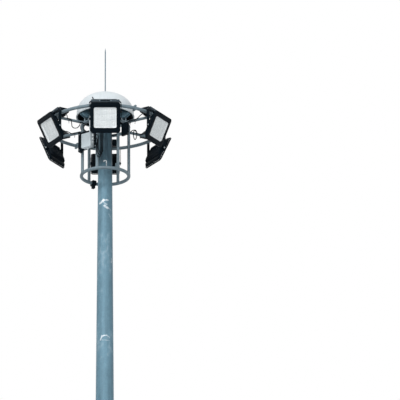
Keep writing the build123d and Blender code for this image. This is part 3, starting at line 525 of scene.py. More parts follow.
@dataclass(frozen=True)
class PoleZinc(Galvanised):
    """The pole's zinc, with rope grease and painted shade of the docked carriage at its head, and the marks
    of the carriage on its front.
    """

    scuffs: tuple[Scuff, ...] = ()
    scuff_colour: Colour = rgb("dfe7ec")
    front: float = -0.02
    ragged: Noise = Noise(70.0)
    ragged_span: Span = (0.28, 0.5, 0.25, 1.0)
    wander: float = 0.035
    wander_x: Noise = Noise(38.0)
    wander_z: Noise = Noise(47.0)
    # Colour and heights of the darkening inside the docked cage: rope grease and painted shade of the
    # carriage.
    grease_and_shade_colour: Colour = rgb("20323d")
    grease_and_shade_span: Span = (19.08, 19.30, 0.0, 0.72)
    streaks: Noise = Noise(30.0, 3.0, (1.0, 1.0, 0.06))
    streak_span: Span = (0.34, 0.62, 0.55, 1.0)

    def stained(self, bench: Bench, where: Value, colour: Value) -> Value:
        """Rope grease and painted shade of the docked carriage in streaks inside the cage, and pale ragged
        scuffs on the front.

        Args:
            bench: The material's bench.
            where: Object coordinates.
            colour: The zinc's own colour.

        Returns:
            The colour with its stains.
        """
        x, y, z = bench.axes(where)
        streaks = bench.ramp(bench.noise(where, self.streaks), *self.streak_span)
        # Darker streaks high on the pole: partly rope grease, partly painted shade cast by the docked
        # carriage, dome and lamps.
        colour = bench.blend(bench.ramp(z, *self.grease_and_shade_span) * streaks, colour, self.grease_and_shade_colour)
        ragged = bench.ramp(bench.noise(where, self.ragged), *self.ragged_span)
        rough_front = y.below(self.front, -self.front) * ragged
        x = x + (bench.noise(where, self.wander_x) - 0.5) * self.wander
        z = z + (bench.noise(where, self.wander_z) - 0.5) * self.wander
        for scuff in self.scuffs:
            colour = bench.blend(scuff.mask(bench, x, z) * rough_front, colour, self.scuff_colour)
        return colour


@dataclass(frozen=True)
class Moulded(Finish):
    """White glass-fibre moulding with grime streaks that run down from the top, and painted shade that
    darkens it toward the rim.
    """

    roughness: float = 0.38
    clouds: Noise = Noise(4.5, 4.0)
    cloud_share: float = 0.6
    cloud_height: float = 0.4
    fan: Pair = (3.0, 0.8)
    streaks: Noise = Noise(7.0, 4.0)
    # Where the painted shade toward the rim begins and how strong it is.
    rim_edge: float = LAYOUT.rim_z + 0.02
    rim_fade: float = 0.22
    rim_painted_shade: float = 0.30
    grime: float = 0.12
    grime_span: Span = (0.62, 1.15, 0.0, 1.0)
    grime_and_shade_colour: Colour = rgb("8f9ba2")
    grime_gloss: float = 0.5
    plain: Plain = (("Coat Weight", 0.1), ("Coat Roughness", 0.2))

    def surface(self, bench: Bench, where: Value) -> Surface:
        """Gel coat with grime streaks that fan out from the crown, darkened toward the rim by painted shade.

        Args:
            bench: The material's bench.
            where: Object coordinates.

        Returns:
            Values for Base Color, Roughness and Bump.
        """
        x, y, z = bench.axes(where)
        fan = bench.combine(bench.pair("ARCTAN2", y, x) * self.fan[0], z * self.fan[1], 0.0)
        cloud = bench.noise(where, self.clouds)
        level = bench.noise(fan, self.streaks) + cloud * self.cloud_share
        # Painted shade: this mask grows toward the rim, so the lower dome comes out greyer; the streaks
        # themselves are grime.
        low = z.below(self.rim_edge, self.rim_fade)
        grime = bench.ramp(level, *self.grime_span) * (self.grime + low * self.rim_painted_shade)
        colour = bench.blend(grime, self.colour, self.grime_and_shade_colour)
        return colour, self.roughness + grime * self.grime_gloss, cloud * self.cloud_height


@dataclass(frozen=True)
class Coated(Finish):
    """Black powder coat: fine orange peel, dull patches, and a pale tone on faces that look up, partly
    settled dust and partly painted top light.
    """

    roughness: float = 0.42
    clouds: Noise = Noise(14.0, 4.0)
    cloud_share: float = 0.7
    uneven: float = 0.12
    grit: Noise = Noise(120.0)
    grit_share: float = 0.3
    dust_and_top_light: float = 0.07
    dust_span: Span = (0.38, 0.66, 0.2, 1.0)
    dust_and_top_light_colour: Colour = rgb("8b9398")
    dust_gloss: float = 0.9
    lying_span: Span = (0.35, 0.9, 0.1, 1.0)
    peel: float = 0.10
    peel_grain: Noise = Noise(650.0, 1.0)
    plain: Plain = (("Specular IOR Level", 0.05),)

    def surface(self, bench: Bench, where: Value) -> Surface:
        """Coat with dust and painted top light on the faces that look up.

        Args:
            bench: The material's bench.
            where: Object coordinates.

        Returns:
            Values for Base Color, Roughness and Bump.
        """
        cloud = bench.noise(where, self.clouds)
        level = cloud * self.cloud_share + bench.noise(where, self.grit) * self.grit_share
        up = bench.axes(bench.add("ShaderNodeNewGeometry").out("Normal"))[2]
        # Pale on faces that look up: settled dust, and painted light on their tops.
        dust_and_top_light = bench.ramp(up, *self.lying_span) * bench.ramp(level, *self.dust_span) * self.dust_and_top_light
        colour = bench.blend(dust_and_top_light, self.colour, self.dust_and_top_light_colour)
        roughness = self.roughness + dust_and_top_light * self.dust_gloss + (cloud - 0.5) * self.uneven
        return colour, roughness, bench.noise(where, self.peel_grain) * self.peel


@dataclass(frozen=True)
class Stained(Finish):
    """Bare metal with one stain in patches, such as grease or rust, over a fine grain."""

    stain: Noise = Noise(60.0)
    stain_span: Span = (0.4, 0.7, 0.0, 0.75)
    stain_colour: Colour = rgb("2c2a28")
    stain_gloss: float = 0.2
    skin: Noise = Noise(900.0, 1.0)
    skin_height: float = 0.06

    def surface(self, bench: Bench, where: Value) -> Surface:
        """Metal that changes its colour and gloss where the stain lies.

        Args:
            bench: The material's bench.
            where: Object coordinates.

        Returns:
            Values for Base Color, Roughness and Bump.
        """
        stain = bench.ramp(bench.noise(where, self.stain), *self.stain_span)
        colour = bench.blend(stain, self.colour, self.stain_colour)
        roughness = self.roughness + stain * self.stain_gloss
        return colour, roughness, bench.noise(where, self.skin) * self.skin_height


@dataclass(frozen=True)
class Glazing(Finish):
    """Clear toughened glass, which shows the white tray behind it."""

    clouds: Noise = Noise(12.0, 4.0)
    shades: Pair = (1.0, 0.93)
    uneven: float = 0.08
    plain: Plain = (("Alpha", 0.06), ("IOR", 1.5), ("Specular IOR Level", 0.6))

    def surface(self, bench: Bench, where: Value) -> Surface:
        """Faint film of dust."""
        film = bench.noise(where, self.clouds)
        return self.shade(bench, film), self.roughness + film * self.uneven, None


class Finishes:
    """Every finish of the tower."""

    POLE = PoleZinc(
        "pole_zinc",
        # The blue tint of this zinc colour is partly painted sky light.
        rgb("688b9c"),
        scuffs=(
            Scuff((-0.085, 18.468), (-0.030, 18.512), 0.020, 0.026, 1.0),
            Scuff((-0.030, 18.512), (0.050, 18.522), 0.024, 0.012, 0.85),
            Scuff((-0.030, 18.475), (0.030, 18.440), 0.010, 0.014, 0.45),
            Scuff((-0.005, 18.415), (0.040, 18.375), 0.028, 0.022, 0.75),
            Scuff((0.040, 18.400), (0.095, 18.345), 0.008, 0.006, 0.5),
            Scuff((0.060, 18.280), (0.100, 18.200), 0.006, 0.005, 0.35),
            Scuff((-0.075, 16.045), (-0.050, 16.105), 0.012, 0.016, 0.8),
            Scuff((-0.050, 16.105), (0.030, 16.122), 0.016, 0.012, 0.9),
            Scuff((0.030, 16.122), (0.078, 16.085), 0.010, 0.008, 0.55),
            Scuff((-0.070, 16.040), (0.075, 16.035), 0.007, 0.006, 0.4),
            Scuff((0.108, 17.420), (0.112, 17.500), 0.010, 0.008, 0.5),
        ),
    )
    STEEL = Galvanised("bracket_zinc", rgb("6a8a9a"), mottle=0.18, run_strength=0.08)
    TUBE = Galvanised("tube_zinc", rgb("768790"), mottle=0.18, run_strength=0.05)
    WELD = Galvanised("weld_zinc", rgb("7f8c93"), roughness=0.45, mottle=0.3, crystal_scale=180.0)
    BOLT = Galvanised(
        "bolt_zinc", rgb("a3acb0"), roughness=0.34, metallic=0.8, mottle=0.15, crystal_scale=240.0
    )
    STAINLESS = Finish("stainless_steel", rgb("9fa5a9"), roughness=0.32, metallic=0.8, grain=0.03)
    HOOK = Finish("hook_steel", rgb("c3cacd"), roughness=0.35, metallic=0.3, grain=0.05)
    DOME = Moulded("dome_moulding", rgb("dde5e9"))
    # Painted shade: a dark coat inside the dome's hollow, where shadow lies.
    DOME_INSIDE_SHADE = Coated("dome_inside_painted_shade", rgb("1b2228"), roughness=0.7, dust_and_top_light=0.03)
    COATING = Coated("black_powder_coat", rgb("06121a"), dust_and_top_light=0.04)
    CASTING = Coated("lamp_powder_coat", rgb("040f17"), dust_and_top_light=0.02, peel=0.14)
    # The grey tone is partly the coat's own colour and partly painted reflection of light on the channels'
    # front webs; its strong pale top is mostly painted top light.
    CHANNEL = Coated("channel_coat", rgb("47525a"), roughness=0.5, dust_and_top_light=0.2)
    GASKET = Finish("gasket_rubber", rgb("1b1d20"), roughness=0.7, grain=0.05)
    TRAY = Finish("reflector_white", rgb("f6fdff"), roughness=0.35, grain=0.02)
    GLASS = Glazing("lamp_glazing", rgb("eff8fc"), roughness=0.05)
    LENS = Finish(
        "lens_clear",
        rgb("f1fafd"),
        roughness=0.12,
        plain=(("Alpha", 0.16), ("Coat Weight", 0.6), ("Coat Roughness", 0.05)),
    )
    CHIP = Finish("light_chip", rgb("eef0dc"), roughness=0.4)
    BOX = Finish("box_plastic", rgb("cfdadf"), roughness=0.42, grain=0.08, grain_scale=900.0)
    GLAND = Finish("gland_plastic", rgb("eef1f2"), roughness=0.4, grain=0.04)
    RUBBER = Coated("cable_sheath", rgb("0b1217"), roughness=0.6, dust_and_top_light=0.03)
    SHEAVE = Stained(
        "sheave_iron",
        rgb("4d5053"),
        roughness=0.5,
        metallic=0.6,
        stain=Noise(22.0, 4.0),
        stain_span=(0.52, 0.72, 0.0, 0.6),
        stain_colour=rgb("6b4630"),
        stain_gloss=0.25,
        skin=Noise(150.0, 4.0),
        skin_height=0.3,
    )
    ROPE = Stained("rope_wire", rgb("7f8385"), roughness=0.4, metallic=0.85)
    ROD = Galvanised("rod_zinc", rgb("55707f"), roughness=0.5, mottle=0.12)


def linked(name: str, data: bpy.types.ID) -> Piece:
    """New object of some data, in the scene.

    Args:
        name: Its name.
        data: Its mesh, curve, light or camera.

    Returns:
        The object.
    """
    made = bpy.data.objects.new(name, data)
    bpy.context.scene.collection.objects.link(made)
    return made


def dress(data: bpy.types.Mesh, finish: Finish) -> None:
    """Give a mesh one finish and no other."""
    data.materials.clear()
    data.materials.append(finish.material())


def meshed(work: bmesh.types.BMesh, name: str, finish: Finish) -> Piece:
    """Object of a worked mesh, which is freed.

    Args:
        work: The mesh.
        name: Name of the object.
        finish: Its finish.

    Returns:
        The object.
    """
    data = bpy.data.meshes.new(name)
    work.to_mesh(data)
    work.free()
    dress(data, finish)
    return linked(name, data)


def evaluated_mesh(source: Piece) -> bpy.types.Mesh:
    """Plain mesh of an object with its modifiers carried out."""
    depsgraph = bpy.context.evaluated_depsgraph_get()
    return bpy.data.meshes.new_from_object(source.evaluated_get(depsgraph))


def settled(piece: Piece) -> Piece:
    """The object with its modifiers turned into plain mesh.

    Args:
        piece: The object.

    Returns:
        The same object.
    """
    result = evaluated_mesh(piece)
    piece.modifiers.clear()
    piece.data = result
    return piece


def rounded(piece: Piece, bevel: float = 0.0, segments: int = 2) -> Piece:
    """Round a piece's edges and set smooth shading up to the sharp angle.

    Args:
        piece: The piece.
        bevel: Width of the rounding; none where it is nought.
        segments: Faces across the rounding.

    Returns:
        The same piece.
    """
    if bevel > 0.0:
        modifier = piece.modifiers.new("edges", "BEVEL")
        modifier.width = bevel
        modifier.segments = segments
        modifier.limit_method = "ANGLE"
        modifier.angle_limit = SHARP_ANGLE
        modifier.use_clamp_overlap = True
        settled(piece)
    piece.data.shade_smooth()
    piece.data.set_sharp_from_angle(angle=SHARP_ANGLE)
    return piece


def softened(
    node: Piece, name: str, finish: Finish, bevel: float, segments: int = 2
) -> Piece:
    """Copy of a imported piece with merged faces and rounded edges.

    Args:
        node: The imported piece's object.
        name: Name of the copy.
        finish: Its finish.
        bevel: Width of the rounding.
        segments: Faces across the rounding.

    Returns:
        The copy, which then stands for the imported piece.
    """
    work = bmesh.new()
    work.from_mesh(node.data)
    bmesh.ops.remove_doubles(work, verts=work.verts[:], dist=MERGE_DISTANCE)
    bmesh.ops.dissolve_limit(work, angle_limit=FLAT_ANGLE, verts=work.verts[:], edges=work.edges[:])
    return rounded(meshed(work, name, finish), bevel, segments)


class Shape:
    """A mesh that grows by prisms, turned profiles, tubes and straps."""

    def __init__(self) -> None:
        """Start empty."""
        self.mesh = bmesh.new()

    def prism(self, outline: Sequence[Pair], start: float, end: float, frame: Matrix) -> Shape:
        """Closed outline in the frame's xy plane, carried along its z from start to end."""
        return self._skin([self._row(frame @ Vector((x, y, z)) for x, y in outline) for z in (start, end)])

    def lathe(self, profile: Sequence[Pair], frame: Matrix, steps: int = 24) -> Shape:
        """Profile of (radius, height) turned round the frame's z; one that ends where it starts is a ring.

        Args:
            profile: The radii and heights.
            frame: Placement of the axis.
            steps: Faces round the axis.

        Returns:
            The shape itself.
        """
        closed = profile[0] == profile[-1]
        rows = []
        for radius, height in profile[: len(profile) - closed]:
            angles = turns(steps)[:-1] if radius > 0.0 else [0.0]
            rows.append(self._row(frame @ on_circle(radius, angle, height) for angle in angles))
        return self._skin(rows, closed)

    def tube(self, path: Sequence[Vector], radius: float, sides: int = 12, closed: bool = False) -> Shape:
        """Round tube along a path, with ends closed unless the path itself is.

        Args:
            path: Points along its middle.
            radius: Of the tube.
            sides: Faces round it.
            closed: Whether its end joins its start.

        Returns:
            The shape itself.
        """
        ends = (path[-1], path[0]) if closed else (path[0], path[-1])
        longer = [ends[0], *path, ends[1]]
        tangents = [(after - before).normalized() for before, after in zip(longer, longer[2:])]
        normal = tangents[0].orthogonal().normalized()
        rows = []
        for point, tangent in zip(path, tangents):
            normal = (normal - tangent * normal.dot(tangent)).normalized()
            other = tangent.cross(normal)
            outs = (normal * math.cos(angle) + other * math.sin(angle) for angle in turns(sides)[:-1])
            rows.append(self._row(point + radius * out for out in outs))
        return self._skin(rows, closed)

    def band(self, path: Sequence[Vector], outs: Sequence[Vector], width: Vector, thick: float) -> Shape:
        """Flat strap along a closed path.

        Args:
            path: Points along the middle of its inner side.
            outs: Direction of its thickness at each point.
            width: From one edge to the other.
            thick: Its thickness.

        Returns:
            The shape itself.
        """
        rows = []
        for point, out in zip(path, outs):
            lift = out * thick
            shifts = (-width / 2, width / 2, width / 2 + lift, lift - width / 2)
            rows.append(self._row(point + shift for shift in shifts))
        return self._skin(rows, True)

    def _row(self, points: Iterable[Vector]) -> list[bmesh.types.BMVert]:
        """New corners at points."""
        return [self.mesh.verts.new(point) for point in points]

    def _skin(self, rows: list[list[bmesh.types.BMVert]], closed: bool = False) -> Shape:
        """Faces round between neighbouring rows, and over the ends unless the rows close on themselves.

        Args:
            rows: Corners of each row.
            closed: Whether the last row joins the first.

        Returns:
            The shape itself.
        """
        for low, high in zip(rows, rows[1:] + rows[:1] if closed else rows[1:]):
            for k in range(max(len(low), len(high))):
                loop = ((low, k), (low, k + 1), (high, k + 1), (high, k))
                corners = list(dict.fromkeys(row[place % len(row)] for row, place in loop))
                if len(corners) > 2:
                    self.mesh.faces.new(corners)
        for row in () if closed else (rows[0][::-1], rows[-1]):
            if len(row) > 1:
                self.mesh.faces.new(row)
        return self

    def piece(self, name: str, finish: Finish, bevel: float = 0.0) -> Piece:
        """The finished object, with its edges rounded by a bevel where one is given."""
        bmesh.ops.recalc_face_normals(self.mesh, faces=self.mesh.faces[:])
        return rounded(meshed(self.mesh, name, finish), bevel)


@dataclass
class Spot:
    """A place for a fastener: where its seat is and which way it points."""

    seat: Vector
    axis: Vector


def spots_on(frame: Matrix, places: Iterable[Point], axis: Vector | None = None) -> list[Spot]:
    """Spots at places of a frame, which point along its z axis or along another one."""
    return [Spot(frame @ Vector(place), axis or facing(frame)) for place in places]


class Kit:
    """A Geometry Nodes tree with named inputs, run on a mesh of points or lines."""

    title = "kit"
    lengths: tuple[str, ...] = ()
    counts: tuple[str, ...] = ()
    finishes: tuple[str, ...] = ("Finish",)

    def __init__(self) -> None:
        """Build the tree."""
        self.tree = bpy.data.node_groups.new(self.title, "GeometryNodeTree")
        self._socket("Geometry", "Geometry", "OUTPUT")
        self._socket("Geometry", "Geometry")
        for kind, names in (("Float", self.lengths), ("Int", self.counts), ("Material", self.finishes)):
            for name in names:
                self._socket(name, kind)
        self.bench = Bench(self.tree)
        self.given = self.bench.add("NodeGroupInput")
        result = self.build()
        self.bench.add("NodeGroupOutput", None, {0: result})

    def _socket(self, name: str, kind: str, way: str = "INPUT") -> None:
        """Add an input or output to the tree."""
        self.tree.interface.new_socket(name=name, in_out=way, socket_type="NodeSocket" + kind)

    def build(self) -> Value:
        """Add the nodes and return the geometry that comes out."""
        raise NotImplementedError

    def curve(self) -> Value:
        """The given lines as curves."""
        return self.bench.add("GeometryNodeMeshToCurve", None, {"Mesh": self.given.out("Geometry")}).out()

    def ball(self, segments: int, rings: int) -> Value:
        """Sphere of radius one."""
        sockets = {"Segments": segments, "Rings": rings, "Radius": 1.0}
        return self.bench.add("GeometryNodeMeshUVSphere", None, sockets).out("Mesh")

    def chance(self, low: float, high: float) -> Value:
        """Random number for each point, from the tree's seed."""
        sockets = {2: low, 3: high, "Seed": self.given.out("Seed")}
        return self.bench.add("FunctionNodeRandomValue", {"data_type": "FLOAT"}, sockets).out(1)

    def copies(self, points: Value, instance: Value, more: dict | None = None) -> Value:
        """Copies of a geometry on points, turned or sized by more sockets."""
        sockets = {"Points": points, "Instance": instance, **(more or {})}
        return self.bench.add("GeometryNodeInstanceOnPoints", None, sockets).out()

    def joined(self, *parts: Value) -> Value:
        """Several geometries as one.

        Args:
            parts: The geometries.

        Returns:
            All of them.
        """
        node = self.bench.add("GeometryNodeJoinGeometry")
        for part in parts:
            self.tree.links.new(part.socket, node.node.inputs[0])
        return node.out()

    def closed(self, instances: Value, finish: str = "Finish") -> Value:
        """Instances made real, in one of the given finishes.

        Args:
            instances: The geometry.
            finish: The tree's input that names the finish.

        Returns:
            The finished geometry.
        """
        real = self.bench.add("GeometryNodeRealizeInstances", None, {0: instances}).out()
        sockets = {"Geometry": real, "Material": self.given.out(finish)}
        return self.bench.add("GeometryNodeSetMaterial", None, sockets).out()

    def run(self, data: bpy.types.Mesh, name: str, values: dict) -> Piece:
        """Run the tree on a mesh and keep the result as a plain object.

        Args:
            data: The points or lines that the tree starts from.
            name: Name of the finished piece.
            values: The tree's inputs by name.

        Returns:
            The finished piece.
        """
        made = linked(name, data)
        modifier = made.modifiers.new(self.title, "NODES")
        modifier.node_group = self.tree
        for item in self.tree.interface.items_tree:
            if item.in_out == "INPUT" and item.name in values:
                modifier[item.identifier] = values[item.name]
        return rounded(settled(made))


def points_mesh(spots: Iterable[Spot]) -> bpy.types.Mesh:
    """Loose points that carry the direction of a fastener.

    Args:
        spots: Where the fasteners go.

    Returns:
        The points.
    """
    spots = list(spots)
    data = bpy.data.meshes.new("spots")
    data.from_pydata([spot.seat for spot in spots], [], [])
    axis = data.attributes.new("axis", "FLOAT_VECTOR", "POINT")
    axis.data.foreach_set("vector", [c for spot in spots for c in spot.axis.normalized()])
    return data


def lines_mesh(lines: Iterable[Sequence[Vector]]) -> bpy.types.Mesh:
    """Open lines as edges; a line that ends where it starts is closed.

    Args:
        lines: Points of each line.

    Returns:
        The edges.
    """
    points, edges = [], []
    for line in lines:
        start = len(points)
        points.extend(line)
        edges.extend((start + i, start + i + 1) for i in range(len(line) - 1))
    data = bpy.data.meshes.new("lines")
    data.from_pydata(points, edges, [])
    return data


class FastenerKit(Kit):
    """Bolt heads or nuts with washers and the end of their shank."""

    title = "fasteners"
    lengths = ("Head radius", "Head height", "Washer radius", "Washer height", "Shank radius", "Shank height")
    counts = ("Sides", "Seed")
    washer_sides = 20
    shank_sides = 12

    def _drum(self, sides: Value | int, of: str, base: Value | float = 0.0) -> Value:
        """Prism with the given radius and height of one part, that stands on a base height.

        Args:
            sides: Number of sides.
            of: The part whose inputs it takes.
            base: Height that it stands on.

        Returns:
            The prism.
        """
        height = self.given.out(of + " height")
        sockets = {"Vertices": sides, "Radius": self.given.out(of + " radius"), "Depth": height}
        body = self.bench.add("GeometryNodeMeshCylinder", None, sockets).out("Mesh")
        lift = self.bench.combine(0.0, 0.0, height * 0.5 + base)
        return self.bench.add("GeometryNodeTransform", None, {"Geometry": body, "Translation": lift}).out()

    def build(self) -> Value:
        """One fastener on each point, turned to its axis and spun at random.

        Returns:
            The finished geometry.
        """
        bench, given = self.bench, self.given.out
        washer = self._drum(self.washer_sides, "Washer")
        head = self._drum(given("Sides"), "Head", given("Washer height"))
        one = self.joined(washer, head, self._drum(self.shank_sides, "Shank"))
        vector = {"data_type": "FLOAT_VECTOR"}
        axis = bench.add("GeometryNodeInputNamedAttribute", vector, {"Name": "axis"}).out(0)
        upright_one = bench.add("FunctionNodeAlignRotationToVector", {"axis": "Z"}, {"Vector": axis}).out()
        angle = bench.combine(0.0, 0.0, self.chance(0.0, math.tau))
        spin = bench.add("FunctionNodeEulerToRotation", None, {0: angle}).out()
        local = {"rotation_space": "LOCAL"}
        rotation = bench.add("FunctionNodeRotateRotation", local, {0: upright_one, 1: spin}).out()
        return self.closed(self.copies(given("Geometry"), one, {"Rotation": rotation}))


class BeadKit(Kit):
    """Weld seams: overlapping flattened beads along lines."""

    title = "weld_beads"
    lengths = ("Bead radius", "Pitch")
    counts = ("Seed",)
    ball_faces = (8, 5)
    sizes = (0.86, 1.12)
    flatness = 0.72

    def build(self) -> Value:
        """Beads that lie across the line, a little uneven.

        Returns:
            The finished geometry.
        """
        bench, given = self.bench, self.given.out
        sockets = {"Curve": self.curve(), "Length": given("Pitch")}
        along = bench.add("GeometryNodeCurveToPoints", {"mode": "LENGTH"}, sockets)
        wide = self.chance(*self.sizes) * given("Bead radius")
        turn = {"Rotation": along.out("Rotation"), "Scale": bench.combine(wide, wide, wide * self.flatness)}
        return self.closed(self.copies(along.out("Points"), self.ball(*self.ball_faces), turn))


class LensKit(Kit):
    """Lenses and light chips in rows on every module of a tray."""

    title = "lens_rows"
    lengths = ("Lens radius", "Lens height", "Chip size")
    finishes = ("Lens finish", "Chip finish")
    ball_faces = (14, 8)
    chip_height = 0.4

    def build(self) -> Value:
        """A domed lens and a square chip on each point.

        Returns:
            The finished geometry.
        """
        bench, given = self.bench, self.given.out
        radius, side = given("Lens radius"), given("Chip size")
        flat = {"Scale": bench.combine(radius, radius, given("Lens height"))}
        lenses = self.copies(given("Geometry"), self.ball(*self.ball_faces), flat)
        size = bench.combine(side, side, side * self.chip_height)
        chip = bench.add("GeometryNodeMeshCube", None, {"Size": size}).out("Mesh")
        chips = self.copies(given("Geometry"), chip)
        return self.joined(self.closed(lenses, "Lens finish"), self.closed(chips, "Chip finish"))


class StrandKit(Kit):
    """Wire rope: strands that wind round a line."""

    title = "rope_strands"
    lengths = ("Rope radius", "Lay length", "Step")
    counts = ("Strands",)
    strand_sides = 6
    strand_share = 0.38
    strand_place = 0.62

    def build(self) -> Value:
        """Copies of the line, each moved off it by a turning offset.

        Returns:
            The finished geometry.
        """
        bench, given = self.bench, self.given.out
        by_length = {"Curve": self.curve(), "Length": given("Step")}
        fine = bench.add("GeometryNodeResampleCurve", {"mode": "LENGTH"}, by_length).out()
        sockets = {"Geometry": fine, "Amount": given("Strands")}
        lines = bench.add("GeometryNodeDuplicateElements", {"domain": "SPLINE"}, sockets)
        share = lines.out("Duplicate Index") / given("Strands")
        run = bench.add("GeometryNodeSplineParameter").out("Length") / given("Lay length")
        tangent = bench.add("GeometryNodeInputTangent").out()
        normal = bench.add("GeometryNodeInputNormal").out()
        sockets = {"Vector": normal, "Axis": tangent, "Angle": (share + run) * math.tau}
        turned = bench.add("ShaderNodeVectorRotate", {"rotation_type": "AXIS_ANGLE"}, sockets).out()
        sockets = {0: turned, "Scale": given("Rope radius") * self.strand_place}
        offset = bench.add("ShaderNodeVectorMath", {"operation": "SCALE"}, sockets).out()
        sockets = {"Geometry": lines.out("Geometry"), "Offset": offset}
        moved = bench.add("GeometryNodeSetPosition", None, sockets).out()
        sockets = {"Resolution": self.strand_sides, "Radius": given("Rope radius") * self.strand_share}
        profile = bench.add("GeometryNodeCurvePrimitiveCircle", None, sockets).out("Curve")
        sockets = {"Curve": moved, "Profile Curve": profile, "Fill Caps": True}
        return self.closed(bench.add("GeometryNodeCurveToMesh", None, sockets).out())


@dataclass
class Workshop:
    """The kits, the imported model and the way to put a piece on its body."""

    frame: dict
    fasteners: FastenerKit = field(default_factory=FastenerKit)
    beads: BeadKit = field(default_factory=BeadKit)
    lenses: LensKit = field(default_factory=LensKit)
    strands: StrandKit = field(default_factory=StrandKit)
    head_height: float = 0.78
    washer_height: float = 0.2
    shank_radius: float = 0.52
    fastener_seed: int = 7
    bead_pitch: float = 0.85
    bead_seed: int = 3

    def node(self, name: str) -> Piece:
        """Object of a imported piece."""
        return self.frame["nodes"][name]

    def paint(self, name: str, finish: Finish) -> None:
        """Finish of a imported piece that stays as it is."""
        dress(self.node(name).data, finish)

    def place(self, piece: Piece, body: str, slot: Slot, *stands_for: str) -> Piece:
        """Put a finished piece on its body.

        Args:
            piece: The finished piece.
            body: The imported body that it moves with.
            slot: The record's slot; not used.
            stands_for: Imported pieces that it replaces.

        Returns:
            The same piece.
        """
        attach(piece, body)
        if stands_for:
            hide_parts(*stands_for)
        log.info("%s: %d faces on %s", piece.name, len(piece.data.polygons), body)
        return piece

    def soften(self, body: str, slot: Slot, node: str, name: str, finish: Finish, *edge: float) -> None:
        """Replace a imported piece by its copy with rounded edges.

        Args:
            body: The body that it moves with.
            slot: The record's slot.
            node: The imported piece.
            name: Name of the copy.
            finish: Its finish.
            edge: Width of the rounding, and the faces across it where they aren't two.
        """
        self.place(softened(self.node(node), name, finish, *edge), body, slot, node)

    def fasten(
        self,
        name: str,
        body: str,
        slot: Slot,
        spots: Iterable[Spot],
        size: float,
        finish: Finish = Finishes.BOLT,
        sides: int = 6,
        shank: float = 0.8,
        washer: float = 1.28,
    ) -> None:
        """Put fasteners on spots.

        Args:
            name: Name of the piece.
            body: The body that it moves with.
            slot: The record's slot.
            spots: Seats and axes.
            size: Radius of the head; the other sizes follow from it.
            finish: The fasteners' finish.
            sides: Sides of the head.
            shank: Height of the shank's end above the head's, as a share of the head's radius.
            washer: Washer radius as a share of the head's.
        """
        values = {
            "Sides": sides,
            "Head radius": size,
            "Head height": size * self.head_height,
            "Washer radius": size * washer,
            "Washer height": size * self.washer_height,
            "Shank radius": size * self.shank_radius,
            "Shank height": size * (self.head_height + self.washer_height + shank),
            "Seed": self.fastener_seed,
            "Finish": finish.material(),
        }
        self.place(self.fasteners.run(points_mesh(spots), name, values), body, slot)

    def weld(
        self, name: str, body: str, slot: Slot, lines: Iterable[Sequence[Vector]], radius: float
    ) -> None:
        """Lay weld seams along lines.

        Args:
            name: Name of the piece.
            body: The body that it moves with.
            slot: The record's slot.
            lines: Points of each seam.
            radius: Of the bead.
        """
        values = {
            "Bead radius": radius,
            "Pitch": radius * self.bead_pitch,
            "Seed": self.bead_seed,
            "Finish": Finishes.WELD.material(),
        }
        self.place(self.beads.run(lines_mesh(lines), name, values), body, slot)


def ring_of(count: int, radius: float, frame: Matrix) -> list[Vector]:
    """Points on a circle in the frame's xy plane, with the first repeated at the end."""
    return [frame @ on_circle(radius, angle) for angle in turns(count)]


def ring_joint(azimuth: float, ring_radius: float, ring_tube: float, sign: float) -> list[Vector]:
    """Closed line where a spoke meets a ring's tube.

    Args:
        azimuth: Of the spoke.
        ring_radius: Of the ring's middle.
        ring_tube: Radius of the ring's own tube.
        sign: One where the spoke comes from outside the ring, minus one from inside.

    Returns:
        The seam's points, with the first repeated at the end.
    """
    frame = upright(azimuth, 0.0, LAYOUT.ring_z)
    points = []
    for angle in turns(SEAM_STEPS):
        side, rise = LAYOUT.spoke_tube * math.cos(angle), LAYOUT.spoke_tube * math.sin(angle)
        reach = ring_radius + sign * math.sqrt(max(ring_tube**2 - rise**2, 0.0))
        points.append(frame @ Vector((side, rise, math.sqrt(reach**2 - side**2))))
    return points


def post_joint(azimuth: float, z: float, ring_tube: float, sign: float) -> list[Vector]:
    """Closed line where a post of the cage meets a ring.

    Args:
        azimuth: Of the post.
        z: Height of the ring's middle.
        ring_tube: Radius of the ring's own tube.
        sign: One for the ring's upper side, minus one for its lower.

    Returns:
        The seam's points, with the first repeated at the end.
    """
    points = []
    for angle in turns(SEAM_STEPS):
        spot = polar(LAYOUT.cage_radius, azimuth) + on_circle(1.0, angle) * LAYOUT.post_tube
        off = math.hypot(spot.x, spot.y) - LAYOUT.cage_radius
        rise = math.sqrt(max(ring_tube**2 - off**2, 0.0))
        points.append(Vector((spot.x, spot.y, z + sign * rise)))
    return points


